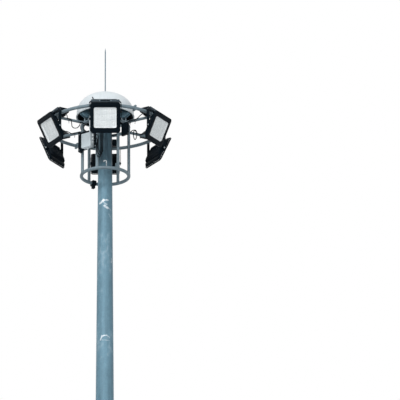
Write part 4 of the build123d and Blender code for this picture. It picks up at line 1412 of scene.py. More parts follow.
@dataclass
class Pole:
    """The two pole sections with their foot welds, anchors, earth stud and door."""

    shop: Workshop
    sides: int = 12
    corner_azimuth: float = 5.0
    wall: float = 0.0053
    flange_top: float = 0.030
    seam_rise: float = 0.003
    seam_off: float = 0.002
    foot_bead: float = 0.0045
    rib_height: float = 0.23
    rib_seam_side: float = 0.0085
    rib_seam_top: float = 0.225
    rib_seam_corner: float = 0.012
    rib_seam_reach: float = 0.098
    head_seam_off: float = 0.001
    head_bead: float = 0.004
    anchor_radius: float = 0.322
    anchor_nut: float = 0.026
    anchor_end: float = 1.9
    earth_azimuth: float = 260.0
    earth_rise: float = 0.42
    earth_boss: tuple[Pair, ...] = ((0.0, 0.0), (0.016, 0.0), (0.016, 0.018), (0.014, 0.020), (0.0, 0.020))
    earth_bolt: float = 0.0085
    door_azimuth: float = 290.0
    door_z: float = 1.05
    door_size: Pair = (0.190, 0.760)
    door_stand: float = 0.010
    lock_place: Pair = (0.36, 0.30)
    lock: float = 0.011
    hinge_place: float = 0.33
    hinge_offset: Pair = (0.004, 0.007)
    hinge_size: Pair = (0.0065, 0.07)
    hinge_steps: int = 16

    @property
    def flat(self) -> float:
        """Distance of a side's middle from the axis, as a share of its corner's."""
        return math.cos(math.pi / self.sides)

    def corner(self, place: float) -> float:
        """Azimuth of a corner by its number, or of a side's middle by a half."""
        return self.corner_azimuth + 360.0 * place / self.sides

    def lower_radius(self, z: float) -> float:
        """Corner radius of the lower section at height z."""
        return LAYOUT.pole_radius(z) - self.wall / self.flat

    def outline(self, z: float, radius: float) -> list[Vector]:
        """Closed twelve-sided line round the pole."""
        return [polar(radius, self.corner(k), z) for k in range(self.sides + 1)]

    def sections(self) -> None:
        """The two tapered sections, their corners rounded as a folded sheet's are, with flange and ribs."""
        for node, name, finish, *edge in (
            ("upper_section", "upper_section_shell", Finishes.POLE, 0.012, 3),
            ("lower_section", "lower_section_shell", Finishes.POLE, 0.004),
            ("base_flange", "base_flange_plate", Finishes.STEEL, 0.003),
            ("base_ribs", "base_rib_plates", Finishes.STEEL, 0.0015),
        ):
            self.shop.soften("mast", Slot.STEEL, node, name, finish, *edge)

    def seams(self) -> None:
        """Welds at the foot, along the ribs and round the head plate."""
        base = self.flange_top + self.seam_rise
        lines = [self.outline(base, self.lower_radius(self.flange_top) + self.seam_off)]
        foot = self.lower_radius(self.flange_top) * self.flat
        head = self.lower_radius(self.flange_top + self.rib_height) * self.flat
        corner = self.rib_seam_corner
        for k in range(self.sides):
            rib = upright(self.corner(k + 0.5))
            for side in (-self.rib_seam_side, self.rib_seam_side):
                line = (
                    (side, self.flange_top + self.rib_seam_top, head + self.seam_off),
                    (side, self.flange_top + corner, foot + self.seam_off),
                    (side, base, foot + corner),
                    (side, base, foot + self.rib_seam_reach),
                )
                lines.append([rib @ Vector(point) for point in line])
        self.shop.weld("foot_welds", "mast", Slot.STEEL, lines, self.foot_bead)
        top = self.outline(LAYOUT.pole_top_z - self.seam_rise, LAYOUT.pole_top_radius + self.head_seam_off)
        self.shop.weld("head_plate_weld", "mast", Slot.STEEL, [top], self.head_bead)

    def anchors(self) -> None:
        """Nuts on the anchor bolts, and the earth boss with its bolt."""
        places = [polar(self.anchor_radius, self.corner(k), self.flange_top) for k in range(self.sides)]
        nuts = [Spot(place, UP) for place in places]
        self.shop.fasten("anchor_nuts", "mast", Slot.STEEL, nuts, self.anchor_nut, shank=self.anchor_end)
        reach = self.lower_radius(self.earth_rise) * self.flat
        earth = upright(self.earth_azimuth, reach, self.earth_rise)
        boss = Shape().lathe(self.earth_boss, earth)
        self.shop.place(boss.piece("earth_boss", Finishes.STEEL), "mast", Slot.STEEL)
        spots = spots_on(earth, [(0.0, 0.0, self.earth_boss[-1][1])])
        self.shop.fasten("earth_bolt", "mast", Slot.STEEL, spots, self.earth_bolt)

    def door(self) -> None:
        """Frame and leaf, two triangular locks and two hinge barrels."""
        self.shop.soften("mast", Slot.STEEL, "door_frame", "door_frame_welded", Finishes.STEEL, 0.002)
        self.shop.soften("mast", Slot.STEEL, "door_leaf", "door_leaf_panel", Finishes.STEEL, 0.0015)
        face = self.lower_radius(self.door_z) * self.flat + self.door_stand
        frame = upright(self.door_azimuth, face, self.door_z)
        width, height = self.door_size
        across, rise = self.lock_place
        spots = spots_on(frame, [(width * across, height * rise * sign, 0.0) for sign in SIDES])
        self.shop.fasten("door_locks", "mast", Slot.STEEL, spots, self.lock, sides=3, shank=-0.9, washer=1.5)
        hinges = Shape()
        beside, out = self.hinge_offset
        radius, length = self.hinge_size
        barrel = [(0.0, 0.0), (radius, 0.0), (radius, length), (0.0, length)]
        for sign in SIDES:
            corner = (-width / 2 - beside, height * self.hinge_place * sign - length / 2, out)
            place = frame @ Matrix.Translation(corner) @ Matrix.Rotation(-math.pi / 2, 4, "X")
            hinges.lathe(barrel, place, self.hinge_steps)
        self.shop.place(hinges.piece("door_hinges", Finishes.STEEL, 0.001), "mast", Slot.STEEL)

    def build(self) -> None:
        """Make every piece of the pole."""
        self.sections()
        self.seams()
        self.anchors()
        self.door()


@dataclass
class Crown:
    """Head frame, sheaves, ropes, dome and lightning rod."""

    shop: Workshop
    sheave_rise: float = 0.213
    sheave_radius: float = 0.075
    sheave_groove: float = 0.009
    rope_radius: float = 0.005
    rope_gap: float = 0.0003
    rope_inner: float = 0.040
    rope_foot: float = 0.046
    bend_steps: int = 12
    strands: int = 6
    lay_length: float = 0.065
    rope_step: float = 0.004
    collector_drop: float = 0.420
    collector: Pair = (0.07, 0.02)
    arm_half: float = 0.030
    axle_nut: float = 0.0165
    dome_radius: float = 0.488
    dome_height: float = 0.430
    inside_shade_edge: float = 0.012
    screw_radius: float = 0.468
    screw_side: float = 0.026
    screw_seat: float = 0.005
    screw: float = 0.006
    rod_bore: float = 0.0094
    rod_seat: float = 0.017
    rod_nut: tuple[Pair, ...] = ((0.021, 0.0), (0.021, 0.010), (0.017, 0.014))

    @property
    def rope_bend(self) -> float:
        """Radius of the rope's middle round a sheave."""
        return self.sheave_radius - self.sheave_groove + self.rope_radius * math.sqrt(2.0) + self.rope_gap

    def ropes(self) -> None:
        """Stranded ropes over the sheaves and the collector plate that gathers them."""
        lines = []
        bend = self.rope_bend
        outer, inner = LAYOUT.cage_radius, self.rope_inner
        top = LAYOUT.pole_top_z - self.collector_drop
        profile = [(outer, LAYOUT.hub_ring_tube + self.rope_foot)]
        for centre, first in ((outer - bend, 0.0), (inner + bend, 90.0)):
            for k in range(self.bend_steps + 1):
                angle = math.radians(first + 90.0 * k / self.bend_steps)
                profile.append((centre + bend * math.cos(angle), self.sheave_rise + bend * math.sin(angle)))
        profile.append((inner, top - LAYOUT.ring_z))
        for azimuth in LAYOUT.arm_azimuths:
            frame = upright(azimuth, 0.0, LAYOUT.ring_z)
            lines.append([frame @ Vector((0.0, rise, radius)) for radius, rise in profile])
        values = {
            "Rope radius": self.rope_radius,
            "Strands": self.strands,
            "Lay length": self.lay_length,
            "Step": self.rope_step,
            "Finish": Finishes.ROPE.material(),
        }
        made = self.shop.strands.run(lines_mesh(lines), "hoist_rope_strands", values)
        self.shop.place(made, "mast", Slot.ROPE, "hoist_ropes")
        radius, depth = self.collector
        outline = [(0.0, -depth), (radius, -depth), (radius, 0.0), (0.0, 0.0)]
        plate = Shape().lathe(outline, Matrix.Translation((0, 0, top)), steps=36)
        self.shop.place(plate.piece("rope_collector", Finishes.STEEL, 0.0015), "mast", Slot.ROPE)

    def frame(self) -> None:
        """Arms with rounded edges, sheaves and the nuts of their axles."""
        self.shop.soften("mast", Slot.STEEL, "head_frame", "head_frame_welded", Finishes.STEEL, 0.0015)
        self.shop.soften(
            "mast", Slot.SHEAVES, "rope_sheaves", "rope_sheave_wheels", Finishes.SHEAVE, 0.0012
        )
        spots = []
        for azimuth in LAYOUT.arm_azimuths:
            side = polar(1.0, azimuth + 90.0)
            for radius in (self.rope_inner + self.rope_bend, LAYOUT.cage_radius - self.rope_bend):
                centre = polar(radius, azimuth, LAYOUT.ring_z + self.sheave_rise)
                spots += [Spot(centre + side * (sign * self.arm_half), side * sign) for sign in SIDES]
        self.shop.fasten("sheave_nuts", "mast", Slot.STEEL, spots, self.axle_nut, shank=-0.5)

    def dome(self) -> None:
        """Moulded dome with its inside painted dark as shade, the screws of its rim and the rod with its lock
        nut.
        """
        shell = softened(self.shop.node("dome"), "dome_shell", Finishes.DOME, 0.0)
        shell.data.materials.append(Finishes.DOME_INSIDE_SHADE.material())
        middle = Vector((0.0, 0.0, LAYOUT.rim_z))
        # Inside faces take the near-black coat as painted shade of the dome's hollow.
        for face in shell.data.polygons:
            reach = math.hypot(face.center.x, face.center.y)
            inwards = face.normal.dot(face.center - middle) < 0.0
            above = face.center.z > middle.z + self.inside_shade_edge
            if inwards and (above or reach < self.dome_radius - self.inside_shade_edge):
                face.material_index = 1
        self.shop.place(shell, "mast", Slot.DOME, "dome")
        self.shop.paint("lightning_rod", Finishes.ROD)
        spots = []
        for azimuth in LAYOUT.arm_azimuths:
            frame = upright(azimuth, 0.0, LAYOUT.rim_z + self.screw_seat)
            spots += spots_on(frame, [(sign * self.screw_side, 0.0, self.screw_radius) for sign in SIDES], UP)
        self.shop.fasten(
            "dome_screws", "mast", Slot.STEEL, spots, self.screw, Finishes.STAINLESS, shank=-0.3
        )
        bottom, top = (self.rod_bore, 0.0), (self.rod_bore, self.rod_nut[-1][1])
        seat = Matrix.Translation((0, 0, LAYOUT.rim_z + self.dome_height + self.rod_seat))
        nut = Shape().lathe([bottom, *self.rod_nut, top, bottom], seat, steps=6)
        self.shop.place(nut.piece("rod_lock_nut", Finishes.BOLT, 0.0008), "mast", Slot.ROD)

    def build(self) -> None:
        """Make every piece of the crown."""
        self.frame()
        self.ropes()
        self.dome()


@dataclass
class Carriage:
    """Rings, spokes, cage, stations and their fasteners."""

    shop: Workshop
    split_azimuth: float = 300.0
    split_plate: float = 0.010
    split_bolt: float = 0.034
    seam_off: float = 0.001
    bead: float = 0.0042
    nut: float = 0.0075
    bolt: float = 0.0095
    station_top: float = 0.0348
    hoop_off: float = 0.0045
    hoop_wire: float = 0.004
    hoop_side: float = 0.036
    rail_outer: float = 1.0473
    rail_bottom_rise: float = 0.0351
    rail_top_rise: float = 0.0753
    rail_wall: float = 0.007
    rail_bolt_side: float = 0.095
    tab_outline: tuple[Pair, ...] = ((-0.182, -0.012), (-0.206, 0.048), (-0.224, 0.046), (-0.204, -0.012))
    tab_thickness: float = 0.005
    hook_azimuth: float = 273.0
    hook_foot_rise: float = 0.0295
    hook_sector: float = 0.94
    yoke_half_span: float = 0.271

    def tubes(self) -> None:
        """Zinc finish on the rings and tubes, and their welds."""
        for name in ("lamp_ring_1", "lamp_ring_2", "hub_ring", "spokes", "cage_posts", "rope_sockets"):
            self.shop.paint(name, Finishes.TUBE)
        lines = []
        for azimuth in LAYOUT.lamp_azimuths:
            lines.append(ring_joint(azimuth, LAYOUT.cage_radius, LAYOUT.hub_ring_tube, 1.0))
            lines.append(ring_joint(azimuth, LAYOUT.lamp_ring_radius, LAYOUT.lamp_ring_tube, -1.0))
        for azimuth in LAYOUT.post_azimuths:
            lines.append(post_joint(azimuth, LAYOUT.ring_z, LAYOUT.hub_ring_tube, -1.0))
            lines.append(post_joint(azimuth, LAYOUT.guide_z, LAYOUT.guide_ring_tube, 1.0))
        for azimuth in (self.split_azimuth, self.split_azimuth + 180.0):
            out, along = polar(1.0, azimuth), polar(1.0, azimuth + 90.0)
            middle = polar(LAYOUT.lamp_ring_radius, azimuth, LAYOUT.ring_z)
            for side in SIDES:
                off = polar(side * (self.split_plate + self.seam_off), azimuth + 90.0)
                frame = frame_of(middle + off, out, along)
                lines.append(ring_of(SEAM_STEPS, LAYOUT.lamp_ring_tube + self.seam_off, frame))
        self.shop.weld("carriage_welds", "carriage", Slot.TUBE, lines, self.bead)

    def split_bolts(self) -> None:
        """Four bolts through each pair of end plates of the lamp ring."""
        spots = []
        for azimuth in (self.split_azimuth, self.split_azimuth + 180.0):
            along = polar(1.0, azimuth + 90.0)
            for side in SIDES:
                for across, rise in CORNERS:
                    radius = LAYOUT.lamp_ring_radius + across * self.split_bolt
                    place = polar(radius, azimuth, LAYOUT.ring_z + rise * self.split_bolt)
                    spots.append(Spot(place + along * side * self.split_plate, along * side))
        self.shop.fasten("split_plate_bolts", "carriage", Slot.TUBE, spots, self.nut)

    def stations(self) -> None:
        """Station plates, channels and yokes with rounded edges, U-bolts and bolts."""
        for slot, node, name, finish, edge in (
            (Slot.TUBE, "station_plates", "station_brackets", Finishes.COATING, 0.001),
            (Slot.TUBE, "yoke_rails", "yoke_channels", Finishes.CHANNEL, 0.0016),
            (Slot.BLACK, "yokes", "yoke_straps", Finishes.COATING, 0.0016),
        ):
            self.shop.soften("carriage", slot, node, name, finish, edge)
        hoops = Shape()
        nuts, rail_bolts, pivots = [], [], []
        tube = LAYOUT.lamp_ring_tube + self.hoop_off
        end = self.station_top + self.hoop_wire
        arc = [on_circle(tube, angle) for angle in bend_angles(180.0, 180.0)]
        path = [(-tube, end), *((spot.x, spot.y) for spot in arc), (tube, end)]
        middle = (self.rail_bottom_rise + self.rail_top_rise) / 2
        for azimuth in LAYOUT.lamp_azimuths:
            ring = upright(azimuth, LAYOUT.lamp_ring_radius, LAYOUT.ring_z)
            axis = upright(azimuth, 0.0, LAYOUT.ring_z)
            seat = upright(azimuth, LAYOUT.pivot_radius, LAYOUT.ring_z)
            for sign in SIDES:
                side = sign * self.hoop_side
                hoops.tube([ring @ Vector((side, rise, off)) for off, rise in path], self.hoop_wire, sides=10)
                nuts += spots_on(ring, [(side, self.station_top, off) for off in (-tube, tube)], UP)
                rail_bolts += spots_on(axis, [(sign * self.rail_bolt_side, middle, self.rail_outer)])
                pivot = (sign * self.yoke_half_span, -LAYOUT.pivot_drop, 0.0)
                pivots += spots_on(seat, [pivot], polar(sign, azimuth + 90.0))
        self.shop.place(hoops.piece("ring_u_bolts", Finishes.BOLT), "carriage", Slot.TUBE)
        self.shop.fasten("u_bolt_nuts", "carriage", Slot.TUBE, nuts, self.nut)
        self.shop.fasten(
            "channel_bolts", "carriage", Slot.TUBE, rail_bolts, self.bolt, Finishes.TUBE, shank=0.2
        )
        finish = Finishes.STAINLESS
        self.shop.fasten(
            "pivot_bolts", "carriage", Slot.BLACK, pivots, self.bolt, finish, shank=-0.4, washer=1.5
        )

    def tab(self) -> None:
        """Leaning stop tab on the front channel and the bright finish of the hook on the guide ring."""
        rise = LAYOUT.ring_z + self.rail_top_rise
        front = upright(LAYOUT.lamp_azimuths[0], self.rail_outer - self.rail_wall, rise)
        shape = Shape().prism(self.tab_outline, -self.tab_thickness, 0.0, front)
        self.shop.place(shape.piece("channel_stop_tab", Finishes.COATING, 0.0008), "carriage", Slot.BLACK)
        ring = softened(self.shop.node("guide_ring"), "guide_ring_with_hook", Finishes.TUBE, 0.0)
        ring.data.materials.append(Finishes.HOOK.material())
        towards = polar(1.0, self.hook_azimuth)
        for face in ring.data.polygons:
            reach = face.center.x * towards.x + face.center.y * towards.y
            above = face.center.z > LAYOUT.guide_z + self.hook_foot_rise
            if above and reach > LAYOUT.cage_radius * self.hook_sector:
                face.material_index = 1
        self.shop.place(ring, "carriage", Slot.TUBE, "guide_ring")

    def build(self) -> None:
        """Make every piece of the carriage's steelwork."""
        self.tab()
        self.tubes()
        self.split_bolts()
        self.stations()


@dataclass
class Boxes:
    """Driver boxes, junction box, relay box and their brackets."""

    shop: Workshop
    driver_inner: float = 0.809
    driver_length: float = 0.175
    driver_top_rise: float = 0.1108
    driver_screw_sides: tuple[float, ...] = (-0.178, 0.0, 0.178)
    driver_screw_inset: float = 0.018
    driver_screw: float = 0.0045
    plate_front: float = 0.4188
    plate_bolts: tuple[Pair, ...] = ((-0.240, 0.215), (-0.240, 0.500), (0.095, 0.215), (0.095, 0.500))
    plate_bolt: float = 0.008
    lid_screw_inset: float = 0.014
    junction_shift: float = -0.026
    junction_size: Point = (0.186, 0.250, 0.074)
    junction_lid: Point = (0.190, 0.254, 0.026)
    junction_screw: float = 0.0055
    gland_nut: float = 0.0185
    gland_rises: tuple[float, ...] = (0.080, 0.019, -0.044)
    gland_below: float = -0.034
    gland_above: float = 0.012
    relay_azimuth: float = 313.0
    relay_radius: float = 0.4262
    relay_size: Point = (0.042, 0.225, 0.142)
    relay_drop: float = 0.180
    relay_shift: float = -0.004
    relay_screw: float = 0.005

    def drivers(self) -> None:
        """Driver boxes with lid screws."""
        self.shop.soften(
            "carriage", Slot.BLACK, "driver_boxes", "driver_housings", Finishes.COATING, 0.002
        )
        inset = self.driver_screw_inset
        radii = (self.driver_inner + inset, self.driver_inner + self.driver_length - inset)
        spots = []
        for azimuth in LAYOUT.lamp_azimuths:
            frame = upright(azimuth, 0.0, LAYOUT.ring_z)
            for side in self.driver_screw_sides:
                spots += spots_on(frame, [(side, self.driver_top_rise, radius) for radius in radii], UP)
        self.lid_screws("driver_lid_screws", Slot.BLACK, spots, self.driver_screw, Finishes.STAINLESS)

    def lid_screws(
        self, name: str, slot: Slot, spots: list[Spot], size: float, finish: Finish, washer: float = 1.3
    ) -> None:
        """Low round screws in a lid, with no shank to see.

        Args:
            name: Name of the piece.
            slot: Its slot.
            spots: Places and directions of the heads.
            size: Radius of a head.
            finish: Their finish.
            washer: Radius of the washer, in heads.
        """
        shank = -0.95 if slot is Slot.BOX else -0.9
        self.shop.fasten(
            name, "carriage", slot, spots, size, finish, sides=12, shank=shank, washer=washer
        )

    def junction(self) -> None:
        """Junction box on its plate, with lid screws and gland nuts, and the plate's bolts."""
        self.shop.soften(
            "carriage", Slot.BLACK, "back_plate", "junction_back_plate", Finishes.COATING, 0.0012
        )
        self.shop.soften("carriage", Slot.BOX, "junction_box", "junction_housing", Finishes.BOX, 0.0025)
        frame = upright(LAYOUT.box_azimuth, 0.0, LAYOUT.ring_z - LAYOUT.box_drop)
        wide, high, depth = self.junction_size
        width, height, lid = self.junction_lid
        inset, shift = self.lid_screw_inset, self.junction_shift
        face = self.plate_front + depth + lid
        corners = [(shift + x * (width / 2 - inset), y * (height / 2 - inset), face) for x, y in CORNERS]
        screws = spots_on(frame, corners)
        self.lid_screws("junction_lid_screws", Slot.BOX, screws, self.junction_screw, Finishes.BOX, 1.35)
        level = self.plate_front + depth / 2
        sideways = frame.to_3x3() @ Vector((1.0, 0.0, 0.0))
        nuts = spots_on(frame, [(shift + wide / 2, rise, level) for rise in self.gland_rises], sideways)
        nuts += spots_on(frame, [(self.gland_below, -high / 2, level)], -UP)
        nuts += spots_on(frame, [(self.gland_above, high / 2, level)], UP)
        finish = Finishes.GLAND
        self.shop.fasten(
            "gland_nuts", "carriage", Slot.BOX, nuts, self.gland_nut, finish, shank=-0.95, washer=1.0
        )
        plate = upright(LAYOUT.box_azimuth, self.plate_front, LAYOUT.ring_z)
        bolts = spots_on(plate, [(side, -drop, 0.0) for side, drop in self.plate_bolts])
        self.shop.fasten("back_plate_bolts", "carriage", Slot.BLACK, bolts, self.plate_bolt)

    def relay(self) -> None:
        """Relay box with its screws, and the rails that carry it."""
        self.shop.soften("carriage", Slot.BLACK, "relay_box", "relay_housing", Finishes.COATING, 0.002)
        self.shop.soften("carriage", Slot.TUBE, "relay_rails", "relay_rail_bars", Finishes.TUBE, 0.001)
        frame = upright(self.relay_azimuth, self.relay_radius, LAYOUT.ring_z - self.relay_drop)
        _, height, depth = self.relay_size
        rise = height / 2 - self.lid_screw_inset
        spots = spots_on(frame, [(self.relay_shift, sign * rise, depth) for sign in SIDES])
        self.lid_screws("relay_screws", Slot.BLACK, spots, self.relay_screw, Finishes.STAINLESS)

    def build(self) -> None:
        """Make every piece of the boxes."""
        self.drivers()
        self.junction()
        self.relay()
        self.shop.soften("carriage", Slot.BLACK, "ring_clamp", "ring_clamp_block", Finishes.COATING, 0.003)
        self.shop.paint("conduit", Finishes.BOX)


def nurbs_tubes(
    name: str, routes: Iterable[Sequence[Vector]], radius: float, finish: Finish
) -> Piece:
    """Round tubes on smooth curves.

    Args:
        name: Name of the piece.
        routes: Control points of each curve.
        radius: Of the tubes.
        finish: Their finish.

    Returns:
        The tubes as one mesh object.
    """
    data = bpy.data.curves.new(name, "CURVE")
    data.dimensions = "3D"
    data.bevel_depth = radius
    data.bevel_resolution = 4
    data.resolution_u = 10
    data.use_fill_caps = True
    for route in routes:
        spline = data.splines.new("NURBS")
        spline.points.add(len(route) - 1)
        for point, place in zip(spline.points, route):
            point.co = (*place, 1.0)
        spline.order_u = 3
        spline.use_endpoint_u = True
    lines = linked(name + "_lines", data)
    mesh = evaluated_mesh(lines)
    bpy.data.objects.remove(lines)
    dress(mesh, finish)
    return rounded(linked(name, mesh))


@dataclass
class Cabling:
    """Loom inside the hub ring, leads to the driver boxes and the junction box, and their ties."""

    shop: Workshop
    lead_radius: float = 0.007
    lead_side: float = 0.0313
    loom_radius: float = 0.009
    loom_circle: float = 0.3667
    loom_drop: float = 0.0119
    loom_steps: int = 72
    lead_start: tuple[Point, ...] = ((0.787, 0.0708, 0.0),)
    lead_end: tuple[Point, ...] = ((0.428, -0.0352, 0.0), (0.365, -0.0352, 0.0), (0.365, -0.016, 0.0))
    straight_lead: tuple[Point, ...] = (
        (0.745, 0.0708, 0.0), (0.690, 0.030, 0.0), (0.640, 0.0, 0.0), (0.560, 0.0, 0.0), (0.482, 0.0, 0.0)
    )
    loops: tuple[tuple[int, tuple[Point, ...]], ...] = (
        (2, ((0.757, 0.0708, 0.0), (0.735, 0.030, 0.0), (0.720, 0.0, 0.0), (0.650, 0.0, 0.0),
             (0.615, 0.005, 0.0), (0.585, 0.042, 0.002), (0.547, 0.040, 0.004), (0.532, -0.022, 0.006),
             (0.540, -0.092, 0.009), (0.560, -0.135, 0.012), (0.588, -0.100, 0.014), (0.601, -0.022, 0.016),
             (0.587, 0.046, 0.018), (0.545, 0.046, 0.019), (0.505, 0.030, 0.014), (0.480, -0.005, 0.003))),
        (5, ((0.764, 0.0708, 0.0), (0.752, 0.045, 0.0), (0.750, 0.0, 0.0), (0.705, 0.0, 0.0),
             (0.672, 0.0, 0.0), (0.668, -0.070, 0.0), (0.655, -0.150, 0.0), (0.568, -0.146, 0.0),
             (0.512, -0.085, 0.0), (0.500, -0.030, 0.0), (0.480, -0.008, 0.0))),
    )
    straight_ties: tuple[float, ...] = (0.600, 0.505)
    loop_ties: tuple[tuple[int, float], ...] = ((2, 0.687), (5, 0.705))
    loom_ties: tuple[float, ...] = (14.0, 74.0, 112.0, 173.0, 224.0, 286.0, 343.0)
    strap_width: float = 0.0048
    strap: float = 0.0014
    slack: float = 0.0004
    wrap_steps: tuple[int, int] = (14, 6)
    head_off: float = 0.002
    head: tuple[Pair, ...] = ((-0.0045, -0.0028), (0.0045, -0.0028), (0.0045, 0.0022), (-0.0045, 0.0022))
    head_half: float = 0.004
    tail: tuple[Pair, ...] = (
        (0.0022, -0.001), (0.0045, -0.024), (0.0105, -0.047),
        (0.0125, -0.0462), (0.0066, -0.023), (0.0046, -0.001),
    )
    tail_half: float = 0.0034
    box_middle: float = 0.4558
    gland_end: float = 0.092
    gland_run: float = 0.035
    box_bend: float = 0.012
    box_hang: float = 0.110
    box_sag: float = 0.095
    box_top: float = 0.016
    box_top_run: float = 0.100
    box_leads: tuple[Point, ...] = ((0.080, 0.184, -0.223), (0.019, 0.167, -0.268), (-0.044, 0.150, -0.308))

    def leads(self) -> None:
        """Leads along the spokes, two of them with a spare loop, and three under the junction box."""
        loops = dict(self.loops)
        routes = []
        for index, (azimuth, sign) in enumerate(zip(LAYOUT.lamp_azimuths, LAYOUT.lead_sides)):
            plane = upright(azimuth, 0.0, LAYOUT.ring_z)
            profile = (*self.lead_start, *loops.get(index, self.straight_lead), *self.lead_end)
            places = [(sign * (self.lead_side + out), rise, radius) for radius, rise, out in profile]
            routes.append([plane @ Vector(place) for place in places])
        box = upright(LAYOUT.box_azimuth, 0.0, LAYOUT.ring_z - LAYOUT.box_drop)
        for lead in self.box_leads:
            routes.append([box @ Vector(place) for place in self.box_route(*lead)])
        tubes = nurbs_tubes("lamp_leads", routes, self.lead_radius, Finishes.RUBBER)
        self.shop.place(tubes, "carriage", Slot.RUBBER, "cables")
        level = Matrix.Translation((0.0, 0.0, LAYOUT.ring_z - self.loom_drop))
        circle = ring_of(self.loom_steps, self.loom_circle, level)[:-1]
        loom = Shape().tube(circle, self.loom_radius, closed=True)
        self.shop.place(loom.piece("cable_loom", Finishes.RUBBER), "carriage", Slot.RUBBER)

    def box_route(self, rise: float, reach: float, bottom: float) -> list[Point]:
        """Way of a lead from a gland of the junction box down, under the ring and up to the loom.

        Args:
            rise: Height of the gland.
            reach: How far to the side the lead hangs.
            bottom: Height of its lowest place.

        Returns:
            Places in the junction box's own frame.
        """
        front, back = self.box_middle, math.sqrt(self.loom_circle**2 - reach**2)
        top = LAYOUT.box_drop - self.box_top
        return [
            (self.gland_end, rise, front),
            (self.gland_end + self.gland_run, rise, front),
            (reach, rise - self.box_bend, front),
            (reach, rise - self.box_hang, front),
            (reach, bottom + self.box_sag, front),
            (reach, bottom, front - self.box_bend),
            (reach, bottom, back + self.box_bend),
            (reach, bottom + self.box_sag, back),
            (reach, top - self.box_top_run, back),
            (reach, top, back),
        ]

    def strap_round(self, shape: Shape, centre: Vector, side: Vector, up: Vector, tubes: Point) -> None:
        """Strap round a tube and a cable beside it, with its head and tail.

        Args:
            shape: The mesh that grows.
            centre: Middle of the tube.
            side: Direction from the tube to the cable.
            up: Direction square to it, away from the strap's head.
            tubes: Radius of the tube, radius of the cable and distance between their middles.
        """
        along = side.cross(up)
        loop, outs = [], []
        big, small, reach = tubes[0] + self.slack, tubes[1] + self.slack, tubes[2]
        lean = math.acos((big - small) / reach)
        far, near = self.wrap_steps
        for k in range(far + 1):
            angle = lean + (math.tau - 2 * lean) * k / far
            outs.append(side * math.cos(angle) + up * math.sin(angle))
            loop.append(centre + outs[-1] * big)
        for k in range(near + 1):
            angle = -lean + 2 * lean * k / near
            outs.append(side * math.cos(angle) + up * math.sin(angle))
            loop.append(centre + side * reach + outs[-1] * small)
        shape.band(loop, outs, along * self.strap_width, self.strap)
        head = frame_of(centre - up * (big + self.head_off), side, along)
        shape.prism(self.head, -self.head_half, self.head_half, head)
        shape.prism(self.tail, -self.tail_half, self.tail_half, head)

    def ties(self) -> None:
        """Straps that hold the leads to the spokes and the loom to the hub ring."""
        shape = Shape()
        loop_ties = dict(self.loop_ties)
        spoke = (LAYOUT.spoke_tube, self.lead_radius, self.lead_side)
        for index, (azimuth, sign) in enumerate(zip(LAYOUT.lamp_azimuths, LAYOUT.lead_sides)):
            side = polar(float(sign), azimuth + 90.0)
            for radius in (loop_ties[index],) if index in loop_ties else self.straight_ties:
                self.strap_round(shape, polar(radius, azimuth, LAYOUT.ring_z), side, UP, spoke)
        inset = LAYOUT.cage_radius - self.loom_circle
        reach = math.hypot(inset, self.loom_drop)
        for azimuth in self.loom_ties:
            side = (polar(-inset, azimuth) - UP * self.loom_drop) / reach
            across = side.cross(polar(1.0, azimuth + 90.0))
            middle = polar(LAYOUT.cage_radius, azimuth, LAYOUT.ring_z)
            self.strap_round(shape, middle, side, across, (LAYOUT.hub_ring_tube, self.loom_radius, reach))
        self.shop.place(shape.piece("cable_ties", Finishes.RUBBER), "carriage", Slot.RUBBER)

    def build(self) -> None:
        """Make the cables and their ties."""
        self.leads()
        self.ties()


